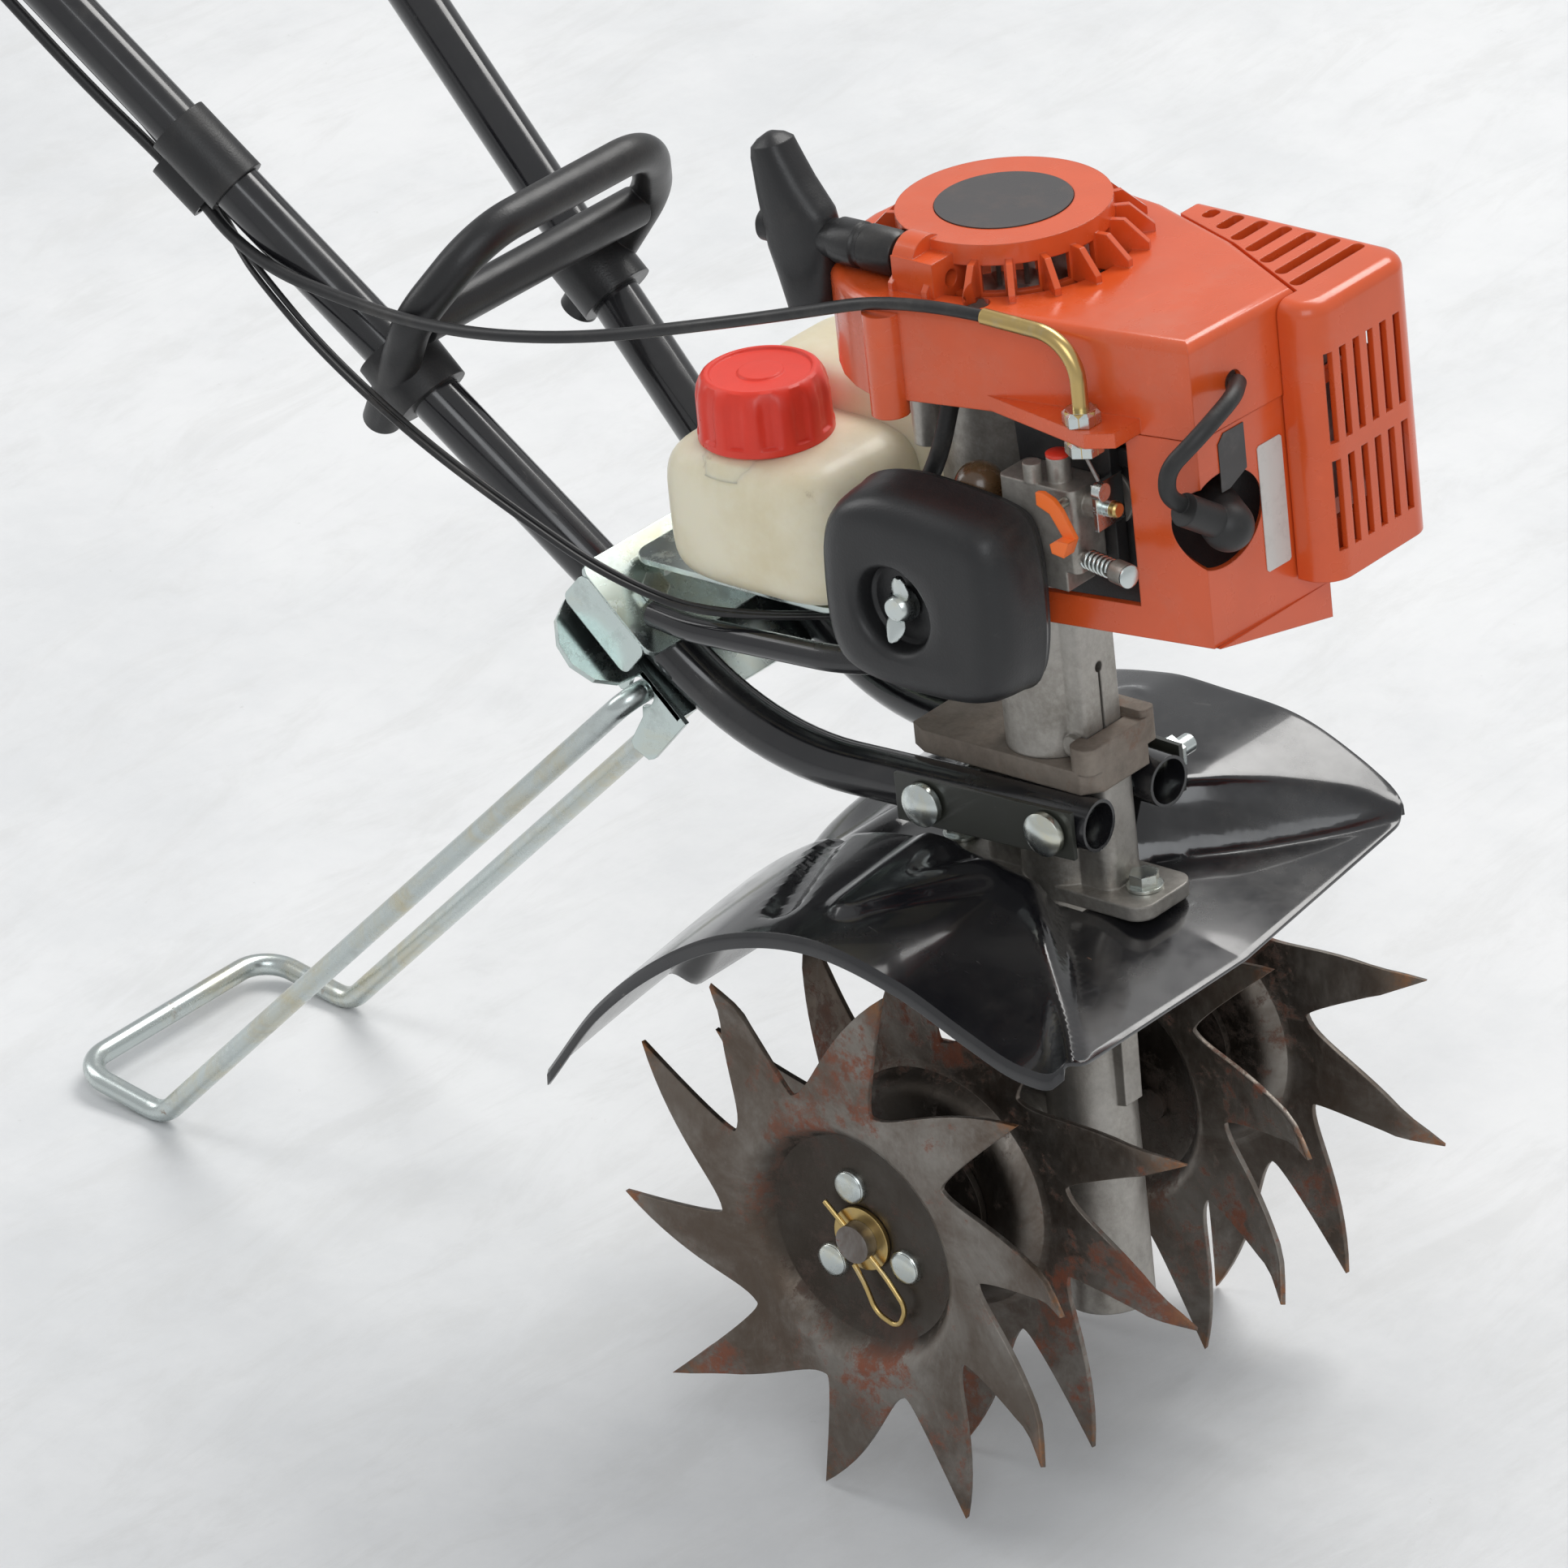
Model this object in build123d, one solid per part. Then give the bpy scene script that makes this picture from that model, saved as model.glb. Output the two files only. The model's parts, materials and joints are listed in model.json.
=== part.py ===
from build123d import *
import math
import os

# Mini cultivator: a two-stroke engine stands on a cast column over four tine discs.
# Everything is drawn in an upright machine frame: origin on the tine axle, +X forward,
# +Y to the machine's left, +Z along the engine column. `save` then leans the machine
# back on its stand and puts it on the floor. Lengths are in mm.

os.makedirs("parts", exist_ok=True)

# driving dimensions
PITCH = 4.85            # degrees the column leans back when parked on the stand
AXLE_HEIGHT = 118.97    # tine axle above the floor
X_SHIFT = 414.49        # centres the whole machine over the origin
TINE_R = 119.0          # tip radius of the tine discs
COLUMN_X = 38.0         # engine, clutch and worm axis, ahead of the tine axle
TUBE_R = 10.5           # handlebar tube outside radius
TUBE_WALL = 1.4
TUBE_Z = 164.0          # centre of the level part of the lower handlebar tubes
RISE = math.radians(43.8)    # slope of the handlebar above the machine's X axis
SPLAY = math.radians(6.7)    # how far each handlebar tube leans outwards
TOP_Z = 392.0           # top surface of the engine shroud
SEAM_Z = 352.0          # joint between the shroud and the lower cover
BOLT_X = (2.0, 60.0)         # carriage bolts through both tubes and the gearcase web
FENDER_BOLT_X = (76.0, -16.0)
STAND_Y = 58.5               # stand legs from the middle plane
STAND_TOP = (-132.6, 184.2)  # (x, z) of the stand hinge
CAP_X = -72.0                # fuel cap axis
CAP_Y = -26.0
ELBOW_X = 117.0              # throttle cable adjuster on the cover arm
ELBOW_Y = -58.0
ROPE_Y = -43.0               # mouth of the starter rope guide
ROPE_Z = 401.5
FILTER_Y = -88.0             # outer face of the air filter cover
KNOB_X = 44.0                # wing nut on the air filter
KNOB_Z = 278.6
BORE_Z = 318.0               # height of the cylinder axis
SHELL_WALL = 2.6             # wall of the moulded engine covers
GUARD_SEAM = ((66.0, 60.0), (112.0, 44.0), (160.0, 20.0))    # where the muffler guard meets the shroud
CLIP_Y = 102.5               # hairpin clips that keep the tine discs on their shaft
DISC_Y = (-107.0, -48.0, 48.0, 107.0)
DISC_PHASE = (4.0, 16.0, 2.0, 20.0)
TEETH = 10

X_AXIS = (1, 0, 0)
Y_AXIS = (0, 1, 0)
Z_AXIS = (0, 0, 1)
SIDES = (("right", -1), ("left", 1))


def place(shape):
    """Move a shape from the upright machine frame onto the floor."""
    return Pos(X_SHIFT, 0, AXLE_HEIGHT) * Rot(0, -PITCH, 0) * shape


def save(name, *shapes):
    """Write one node; separate solids stay separate inside it."""
    solids = []
    for shape in shapes:
        solids.extend(shape.solids())
    group = Compound(children=[place(solid) for solid in solids])
    export_step(group, os.path.join("parts", name + ".step"))


def rod(start, end, radius):
    """A round bar between two points."""
    start = Vector(*start)
    along = Vector(*end) - start
    return Solid.make_cylinder(radius, along.length, Plane(origin=start, z_dir=along))


def ring(start, end, outer, inner):
    """A round tube between two points."""
    return rod(start, end, outer) - rod(start, end, inner)


def block(x, y, z, corner=0.0):
    """A box from three (low, high) pairs, its upright edges rounded."""
    body = Pos(sum(x) / 2, sum(y) / 2, sum(z) / 2) * Box(x[1] - x[0], y[1] - y[0], z[1] - z[0])
    if corner:
        body = fillet(body.edges().filter_by(Axis.Z), corner)
    return body


def slab(points, plane, depth):
    """A closed outline on a plane, given thickness along the plane's normal."""
    return extrude(plane * Polygon(*points, align=None), depth, dir=plane.z_dir)


def side_slab(points, y0, y1):
    """An (x, z) outline extruded between two Y values."""
    plane = Plane(origin=(0, y0, 0), x_dir=X_AXIS, z_dir=(0, -1, 0))
    return extrude(plane * Polygon(*points, align=None), y1 - y0, dir=Y_AXIS)


def arc_radii(points, share=0.45, largest=1e9):
    """Bend radii that leave a straight run on both sides of every corner."""
    radii = []
    for before, here, after in zip(points, points[1:], points[2:]):
        run_in = Vector(*here) - Vector(*before)
        run_out = Vector(*after) - Vector(*here)
        turn = math.radians(run_in.get_angle(run_out))
        radii.append(min(largest, share * min(run_in.length, run_out.length) / math.tan(turn / 2)))
    return radii


def bent(points, radii, radius, bore=0.0):
    """A round bar or tube following straight runs joined by arcs."""
    path = FilletPolyline(*points, radius=radii)
    start = Plane(origin=path @ 0, z_dir=path % 0)
    body = sweep(start * Circle(radius), path=path)
    if bore:
        body -= sweep(start * Circle(bore), path=path)
    return body


def cable(name, points, radius):
    """A flexible cable; the bend radii are printed so they can be judged."""
    radii = arc_radii(points)
    print(name, "bend radii", [round(value) for value in radii])
    body = bent(points, radii, radius)
    expected = math.pi * radius**2 * FilletPolyline(*points, radius=radii).length
    print(name, "volume share", round(body.volume / expected, 3))
    return body


def tube_direction(side):
    """Unit vector up one sloping handlebar tube."""
    return Vector(-math.cos(RISE) * math.cos(SPLAY), side * math.sin(SPLAY), math.sin(RISE) * math.cos(SPLAY))


def along_tube(side, distance, offset=(0, 0, 0)):
    """A point on a handlebar centreline, measured up the slope from the tank bracket."""
    point = Vector(-138.4, side * 40.6, 216.1) + tube_direction(side) * distance
    return (point.X + offset[0], point.Y + offset[1], point.Z + offset[2])


def tube_y(x):
    """Distance of the level part of a lower tube from the middle plane."""
    end_x, end_y = 74.5, 21.6
    bend = bend_point(1)
    return end_y + (end_x - x) / (end_x - bend[0]) * (bend[1] - end_y)


def bend_point(side):
    """Corner where the level part of a tube meets the sloping handlebar."""
    drop = (TUBE_Z - 216.1) / (math.sin(RISE) * math.cos(SPLAY))
    return along_tube(side, drop)


SLOPE_X = Vector(-math.cos(RISE), 0, math.sin(RISE))     # up along the handlebar
SLOPE_N = Vector(math.sin(RISE), 0, math.cos(RISE))      # square to it, upwards
FOLD = 476.0                                             # handlebar length to the fold joint
CLIP_AT = 246.0                                          # handlebar length to the cable clip


# ---------------------------------------------------------------- tines and gearcase
def tooth(phase, y, lean):
    """One swept, pointed tooth, bent sideways where it leaves the disc; phase is its tip."""
    root_r = 66.0
    reach = TINE_R - root_r
    outline = [(-14, -36), (-3, -33), (8, -28), (22, -19.5), (38, -10.5), (reach, -1.5), (reach, 1.5),
               (42, 3.0), (24, 3.5), (8, 3.0), (-2, 3.5), (-8, 0), (-12, -16)]
    angle = math.radians(phase)
    tilt = math.radians(lean)
    radial = Vector(math.cos(angle), 0, math.sin(angle))
    out = radial * math.cos(tilt) + Vector(0, math.sin(tilt), 0)
    normal = Vector(0, math.cos(tilt), 0) - radial * math.sin(tilt)
    origin = radial * root_r + Vector(0, y, 0) - normal * 1.25
    return slab(outline, Plane(origin=origin, x_dir=out, z_dir=normal), 2.5)


def tine_disc(index):
    """A pressed disc with a dished middle and ten teeth, some of them bent outwards."""
    y = DISC_Y[index]
    side = 1 if y > 0 else -1
    outer = abs(y) > 80
    inward = -side if outer else side
    dish = 10.0 * inward
    bore = 8.05 if outer else 13.05
    web = ring((0, y - 1.25, 0), (0, y + 1.25, 0), 67.0, 50.0)
    floor = ring((0, y + dish - 1.25, 0), (0, y + dish + 1.25, 0), 43.0, bore)
    low = Plane(origin=(0, y - 1.25 * inward, 0), z_dir=(0, inward, 0))
    high = Plane(origin=(0, y + dish + 1.25 * inward, 0), z_dir=(0, inward, 0))
    wall = loft([low * Circle(52.0), high * Circle(43.0)]) - loft([low * Circle(49.5), high * Circle(40.5)])
    body = web + wall + floor
    for x, z in rivet_spots():
        body -= rod((x, y + dish - 6, z), (x, y + dish + 6, z), 3.55)
    for number in range(TEETH):
        lean = 10.0 * side if number % 3 == 0 else -3.0 * side
        if not outer:
            lean = -lean
        body += tooth(DISC_PHASE[index] + 36.0 * number, y, lean)
    return body


def rivet_spots():
    """The three rivet positions round a tine hub, as (x, z)."""
    angles = [math.radians(100 + 120 * number) for number in range(3)]
    return [(22.0 * math.cos(angle), 22.0 * math.sin(angle)) for angle in angles]


def build_tines():
    shaft = rod((0, -106, 0), (0, 106, 0), 8.0)
    for side in (-1, 1):
        shaft -= rod((-20, side * CLIP_Y, 18.5), (20, side * CLIP_Y, -18.5), 1.3)
    save("tine_shaft", shaft)
    for index in range(4):
        save("tine_disc_%d" % (index + 1), tine_disc(index))
    pieces = []
    for side in (-1, 1):
        hub = ring((0, side * 40.2, 0), (0, side * 95.6, 0), 13.0, 8.02)
        hub += ring((0, side * 59.5, 0), (0, side * 62.5, 0), 30.0, 8.02)
        hub += ring((0, side * 92.6, 0), (0, side * 95.6, 0), 30.0, 8.02)
        for x, z in rivet_spots():
            hub -= rod((x, side * 55, z), (x, side * 99, z), 3.55)
        pieces.append(hub)
        for x, z in rivet_spots():
            for low, high in ((56.6, 62.6), (92.5, 98.4)):
                rivet = rod((x, side * (low - 2.2), z), (x, side * (high + 2.2), z), 3.5)
                rivet += rod((x, side * (low - 2.2), z), (x, side * low, z), 6.8)
                rivet += rod((x, side * high, z), (x, side * (high + 2.2), z), 6.8)
                pieces.append(rivet)
    save("tine_hubs", *pieces)
    clips = []
    for side in (-1, 1):
        y = side * CLIP_Y
        clips.append(ring((0, side * 98.5, 0), (0, side * 100.3, 0), 13.5, 8.05))
        loop = [(-15, y, 13.9), (12.5, y, -11.56), (22, y, -24), (17, y, -34), (6, y, -30), (2, y, -19),
                (-3, y, -11)]
        clips.append(bent(loop, arc_radii(loop, 0.4), 1.1))
    save("shaft_clips", *clips)


def build_gearcase():
    housing = rod((0, -21, 0), (0, 21, 0), 33.0)
    boss = rod((0, -39.5, 0), (0, 39.5, 0), 17.0)
    tower = rod((COLUMN_X, 0, -62), (COLUMN_X, 0, 153), 18.0)
    foot = block((0, COLUMN_X), (-14, 14), (-30, 30))
    rib = side_slab([(8, 20), (COLUMN_X + 22, 30), (COLUMN_X + 24, 123), (-10, 123), (-8, 60)], -5, 5)
    flange = block((-22, 88), (-17, 17), (122.3, 128.3), 8)
    web = block((COLUMN_X - 34, COLUMN_X + 30), (-10.4, 10.4), (128, 174.4), 5)
    body = housing + boss + tower + foot + rib + flange + web
    body -= rod((0, -50, 0), (0, 50, 0), 8.05)
    body -= rod((0, -16.5, 0), (0, 16.5, 0), 28.5)
    body -= rod((COLUMN_X, 0, -55), (COLUMN_X, 0, 200), 13.0)
    for x in BOLT_X:
        body -= rod((x, -12, TUBE_Z), (x, 12, TUBE_Z), 4.1)
    for x in FENDER_BOLT_X:
        body -= rod((x, 0, 120), (x, 0, 130), 3.05)
    save("gearcase_lower", body)
    save("worm_wheel", ring((0, -11, 0), (0, 11, 0), 26.6, 8.0))
    shaft = rod((COLUMN_X, 0, -50), (COLUMN_X, 0, 262), 4.5)
    worm = rod((COLUMN_X, 0, -22), (COLUMN_X, 0, 22), 10.9)
    bearings = rod((COLUMN_X, 0, -45), (COLUMN_X, 0, -34), 12.9)
    bearings += rod((COLUMN_X, 0, 40), (COLUMN_X, 0, 50), 12.9)
    drum = ring((COLUMN_X, 0, 262), (COLUMN_X, 0, 285), 31.0, 28.0)
    drum += rod((COLUMN_X, 0, 260), (COLUMN_X, 0, 263), 31.0)
    save("drive_shaft", shaft + worm + bearings, drum)


def build_column():
    z0 = 184.3
    top = 258.0
    body = rod((COLUMN_X, 0, z0), (COLUMN_X, 0, top), 19.5)
    body += block((COLUMN_X, COLUMN_X + 25), (-11, 11), (z0, top), 1.5)
    bell = loft([Plane((COLUMN_X, 0, 246)) * Circle(20), Plane((COLUMN_X, 0, top)) * Circle(36)])
    body += bell + rod((COLUMN_X, 0, top), (COLUMN_X, 0, 292), 36.0)
    body -= rod((COLUMN_X, 0, z0 - 1), (COLUMN_X, 0, 259), 13.0)
    body -= rod((COLUMN_X, 0, 258), (COLUMN_X, 0, 293), 32.5)
    body -= block((COLUMN_X + 8, COLUMN_X + 30), (-0.8, 0.8), (z0 - 1, 220))
    body -= rod((COLUMN_X + 8, 0, 220), (COLUMN_X + 30, 0, 220), 2.2)
    body -= rod((COLUMN_X + 19, -12, 190), (COLUMN_X + 19, 12, 190), 2.6)
    screw = rod((COLUMN_X + 19, -12.2, 190), (COLUMN_X + 19, 12.4, 190), 2.5)
    screw += rod((COLUMN_X + 19, -13.8, 190), (COLUMN_X + 19, -11.1, 190), 4.3)
    save("gearcase_column", body, screw)

    outline = [(-20, -17), (-12, -21), (66, -21), (72, -14), (72, 14), (66, 21), (-12, 21), (-20, 17)]
    plate = slab(outline, Plane((0, 0, 174.6)), 9.5)
    lip = block((60, 72), (-21, 21), (183, 194), 5) + block((50, 72), (12.9, 21), (183, 197), 3)
    plate = plate + lip
    plate -= block((COLUMN_X + 5, COLUMN_X + 25.5), (-11.4, 11.4), (184.2, 200))
    plate -= rod((COLUMN_X, 0, 184.2), (COLUMN_X, 0, 200), 19.9)
    plate -= rod((COLUMN_X + 19, -14.3, 190), (COLUMN_X + 19, 13.5, 190), 4.8)
    plate -= rod((COLUMN_X, 0, 170), (COLUMN_X, 0, 190), 13.0)
    save("base_plate", plate)


def build_clamp():
    """Side plates, carriage bolts and nuts that hold the handlebar to the gearcase."""
    plates = []
    reach = TUBE_R + 0.15
    thickness = 2.2
    slope = math.degrees(math.atan((tube_y(0) - tube_y(50)) / 50))
    for _, side in SIDES:
        middle = Vector(29, side * tube_y(29), TUBE_Z)
        plate = Box(84, thickness, 20)
        plate = Pos(0, side * (reach + thickness / 2), 0) * plate
        plate = Pos(*middle) * Rot(0, 0, -side * slope) * plate
        for x in BOLT_X:
            plate -= rod((x, -60, TUBE_Z), (x, 60, TUBE_Z), 4.1)
        plates.append(plate)
    bolts = []
    for x in BOLT_X:
        face = tube_y(x) + reach + thickness + 0.9
        shank = rod((x, -face, TUBE_Z), (x, face + 16, TUBE_Z), 4.0)
        head = rod((x, -face - 2, TUBE_Z), (x, -face, TUBE_Z), 9.0)
        dome = Pos(x, -face + 9.2, TUBE_Z) * Sphere(15.0)
        head += dome & rod((x, -face - 6, TUBE_Z), (x, -face - 1.9, TUBE_Z), 9.0)
        nut = extrude(Plane(origin=(x, face, TUBE_Z), z_dir=Y_AXIS) * RegularPolygon(7.5, 6), 6.5)
        bolts.append(shank + head)
        bolts.append(nut - rod((x, face - 2, TUBE_Z), (x, face + 20, TUBE_Z), 4.05))
    save("clamp_plates", *plates)
    save("clamp_bolts", *bolts)


def build_fender():
    """Arched sheet guard over the tines, with a pressed pocket where it meets the gearcase."""
    arch = [(-149, 46), (-134, 67), (-118, 86), (-100, 103), (-80, 117.5), (-60, 129), (-42, 137),
            (-24, 142.5), (-6, 145), (14, 144.5), (34, 140.5), (50, 135), (66, 128.5), (82, 122.5),
            (98, 118), (124, 114)]
    thickness = 2.0
    under = [(x, z - thickness) for x, z in reversed(arch)]
    under[-1] = (-147.6, 44.6)
    width = 220.0
    lean = 0.086                    # the guard sits higher on the left
    across = Vector(0, 1, lean)
    plane = Plane(origin=(0, -width / 2, -lean * width / 2), x_dir=X_AXIS, z_dir=(0, -1, 0))
    run = width * across.length
    body = extrude(plane * Polygon(*(arch + under), align=None), run, dir=across.normalized())
    above = [(124, 220), (-149, 220)] + arch
    sky = extrude(plane * Polygon(*above, align=None), run, dir=across.normalized())
    pocket = block((-44, 90), (-24, 24), (118, 200))
    walls = block((-44, 90), (-24, 24), (120.1, 160)) - block((-42, 91), (-22, 22), (118, 170))
    floor = block((-44, -12.5), (-24, 24), (120.1, 122.2)) + block((65, 92), (-24, 24), (120.1, 122.2))
    body = body - pocket + (walls - sky) + floor
    for side in (-1, 1):
        for x, y, z in ((-62, 40, 126.5), (-20, 46, 141.6)):
            body += rod((x, side * y, z + lean * side * y), (x, side * 98, z + lean * side * 98), 3.4)
    for x in FENDER_BOLT_X:
        body -= rod((x, 0, 118), (x, 0, 124), 3.3)
    save("fender", body)
    bolts = []
    for x in FENDER_BOLT_X:
        washer = ring((x, 0, 128.4), (x, 0, 129.9), 7.4, 3.0)
        head = extrude(Plane((x, 0, 129.9)) * RegularPolygon(6.2, 6), 5.0)
        bolts.append(washer + head + rod((x, 0, 116), (x, 0, 130), 3.0))
    for side in (-1, 1):
        spot = Vector(*along_tube(side, 0)) + SLOPE_N * (TUBE_R + 2.7)
        bolts.append(extrude(Plane(origin=spot, z_dir=SLOPE_N) * RegularPolygon(6.2, 6), 5.0))
    save("flange_bolts", *bolts)


# ---------------------------------------------------------------- handlebar
def build_handlebar():
    for name, side in SIDES:
        points = [(74.5, side * 21.6, TUBE_Z), bend_point(side), along_tube(side, FOLD - 15)]
        tube = bent(points, [105.0], TUBE_R, TUBE_R - TUBE_WALL)
        for x in BOLT_X:
            tube -= rod((x, side * 5, TUBE_Z), (x, side * 60, TUBE_Z), 4.1)
        spot = along_tube(side, FOLD - 40)
        tube -= rod((spot[0], spot[1] - 30, spot[2]), (spot[0], spot[1] + 30, spot[2]), 3.05)
        save("handle_tube_" + name, tube)

    # moulded carry handle clipped over both tubes
    up = Vector(0.55, 0, 0.835).normalized()
    centre = Vector(-232, 0, 304)

    def on_plane(y, height):
        point = centre + up * height
        return (point.X, y, point.Z)

    outline = [on_plane(*pair) for pair in
               ((-59, -26), (-66, 12), (-72, 40), (-50, 78), (50, 78), (72, 40), (66, 12), (59, -26))]
    loop = bent(outline, arc_radii(outline, 0.42), 8.0)
    bar_points = (on_plane(-64, 33), on_plane(64, 33))
    body = loop + rod(bar_points[0], bar_points[1], 8.5)
    for _, side in SIDES:
        tube_point = Vector(*along_tube(side, 128))
        step = SLOPE_X * 13
        collar = rod(tuple(tube_point - step), tuple(tube_point + step), TUBE_R + 5.5)
        body += collar
    for _, side in SIDES:
        body -= rod(along_tube(side, 60), along_tube(side, 200), TUBE_R + 0.05)
    save("carry_handle", body)

    # cable clip on the right tube
    hold = Vector(*along_tube(-1, CLIP_AT))
    tube_dir = tube_direction(-1)
    small = hold - SLOPE_N * 17.5
    band = rod(tuple(hold - tube_dir * 17), tuple(hold + tube_dir * 17), TUBE_R + 2.6)
    band += rod(tuple(small - tube_dir * 12), tuple(small + tube_dir * 12), 8.2)
    band -= rod(along_tube(-1, CLIP_AT - 40), along_tube(-1, CLIP_AT + 40), TUBE_R + 0.05)
    band -= rod(tuple(small - tube_dir * 20), tuple(small + tube_dir * 20), 6.4)
    save("cable_clip", band)

    # fold joint: a channel bracket and bolts on each side
    brackets = []
    bolts = []
    for _, side in SIDES:
        pivot = Vector(*along_tube(side, FOLD))
        tube_dir = tube_direction(side)
        across = SLOPE_N.cross(tube_dir)
        low = pivot - tube_dir * 62
        channel = extrude(Plane(origin=low - SLOPE_N * 13.0, x_dir=tube_dir, z_dir=SLOPE_N)
                          * Pos(24, 0) * Rectangle(42, 29.6), 2.0)
        for offset in (-14.8, 12.6):
            plane = Plane(origin=low + across * offset, x_dir=tube_dir, z_dir=across)
            channel += extrude(plane * Pos(38, 0) * RectangleRounded(76, 26, 8), 2.2, dir=across)
        for distance in (0.0, -40.0):
            spot = Vector(*along_tube(side, FOLD + distance))
            bolt = rod((spot.X, spot.Y - 19, spot.Z), (spot.X, spot.Y + 23, spot.Z), 3.0)
            for offset in (-20.9, 16.4):
                plane = Plane(origin=(spot.X, spot.Y + offset, spot.Z), z_dir=Y_AXIS)
                bolt += extrude(plane * RegularPolygon(6.2, 6), 4.5)
            channel -= rod((spot.X, spot.Y - 21, spot.Z), (spot.X, spot.Y + 21, spot.Z), 3.05)
            bolts.append(bolt)
        brackets.append(channel)
    save("fold_brackets", *brackets)
    save("fold_bolts", *bolts)

    # upper handle, its cross bar and grips
    tubes = []
    grips = []
    for _, side in SIDES:
        points = upper_points(side)
        tube = bent(points, [95.0, 60.0], TUBE_R, TUBE_R - TUBE_WALL)
        pivot = along_tube(side, FOLD)
        tube -= rod((pivot[0], pivot[1] - 30, pivot[2]), (pivot[0], pivot[1] + 30, pivot[2]), 3.05)
        tubes.append(tube)
        start = Vector(*points[2])
        end = Vector(*points[3])
        along = (end - start).normalized()
        grip = rod(tuple(end - along * 101), tuple(end + along * 3), TUBE_R + 5.0)
        grip += rod(tuple(end - along * 102), tuple(end - along * 97), TUBE_R + 9.0)
        grips.append(grip - rod(tuple(start), tuple(end), TUBE_R + 0.04))
    bar_y = along_tube(1, FOLD + 190)[1]
    bar_at = along_tube(1, FOLD + 190)
    bar = rod((bar_at[0], -bar_y, bar_at[2]), (bar_at[0], bar_y, bar_at[2]), 8.0)
    for _, side in SIDES:
        bar -= rod(along_tube(side, FOLD + 100), along_tube(side, FOLD + 260), TUBE_R + 0.04)
        collar = rod(along_tube(side, FOLD + 177), along_tube(side, FOLD + 203), TUBE_R + 2.2)
        bar += collar - rod(along_tube(side, FOLD + 100), along_tube(side, FOLD + 260), TUBE_R + 0.04)
    save("upper_tubes", *tubes, bar)
    save("hand_grips", *grips)


def upper_points(side):
    """Corner points of one upper tube, from the fold joint to the end of its grip."""
    return [along_tube(side, FOLD - 9), along_tube(side, FOLD + 262),
            (-765.0, side * 200.7, 815.7), (-902.0, side * 224.0, 872.0)]


# ---------------------------------------------------------------- throttle control on the right grip
def build_throttle_control():
    points = upper_points(-1)
    end = Vector(*points[3])
    along = (end - Vector(*points[2])).normalized()
    middle = end - along * 117.5
    cross = Vector(0, 1, 0)
    down = along.cross(cross).normalized()
    if down.Z > 0:
        down = down * -1
    plane = Plane(origin=middle, x_dir=along, z_dir=cross)
    shell = rod(tuple(middle - along * 13), tuple(middle + along * 13), TUBE_R + 6.5)
    shell += extrude(Plane(origin=middle + down * 22 - cross * 9, x_dir=along, z_dir=cross)
                     * RectangleRounded(26, 26, 4), 18)
    shell -= rod(tuple(middle - along * 30), tuple(middle + along * 30), TUBE_R + 0.02)
    shell -= extrude(Plane(origin=middle + down * 30 - cross * 5.5, x_dir=along, z_dir=cross)
                     * Pos(4, 0) * Rectangle(40, 24), 11)
    pivot = middle + down * 27
    shell -= rod(tuple(pivot - cross * 12), tuple(pivot + cross * 12), 2.03)
    switch_at = middle - down * 16.5
    shell += rod(tuple(middle), tuple(middle - down * 20), 8.5)
    shell -= rod(tuple(middle - along * 30), tuple(middle + along * 30), TUBE_R + 0.02)
    shell -= rod(tuple(middle - down * 11), tuple(middle - down * 30), 5.2)
    save("throttle_housing", shell)
    lever_plane = Plane(origin=pivot - cross * 4.5, x_dir=along, z_dir=cross)
    sign = 1 if lever_plane.to_local_coords(pivot + down).Y > 0 else -1
    outline = [(-6, -5), (6, -5), (14, 0), (50, 3), (84, 12), (84, 17), (46, 12), (6, 7), (-6, 5)]
    outline = [(x, sign * y) for x, y in outline]
    lever = extrude(lever_plane * Polygon(*outline, align=None), 9, dir=cross)
    pin = rod(tuple(pivot - cross * 8.6), tuple(pivot + cross * 8.6), 2.0)
    save("throttle_trigger", lever + pin)
    switch = rod(tuple(middle - down * 14.6), tuple(middle - down * 25), 5.0)
    save("stop_switch", switch)
    print("trigger pivot", tuple(round(v, 3) for v in place_point(pivot)))
    print("trigger axis Y, switch axis", place_vector(down * 1.0))
    print("switch", place_point(switch_at))


def place_vector(vector):
    angle = math.radians(PITCH)
    x = vector.X * math.cos(angle) - vector.Z * math.sin(angle)
    z = vector.X * math.sin(angle) + vector.Z * math.cos(angle)
    return (round(x, 5), round(vector.Y, 5), round(z, 5))


def place_point(vector):
    turned = place_vector(vector)
    return (turned[0] + X_SHIFT, turned[1], turned[2] + AXLE_HEIGHT)


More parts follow.
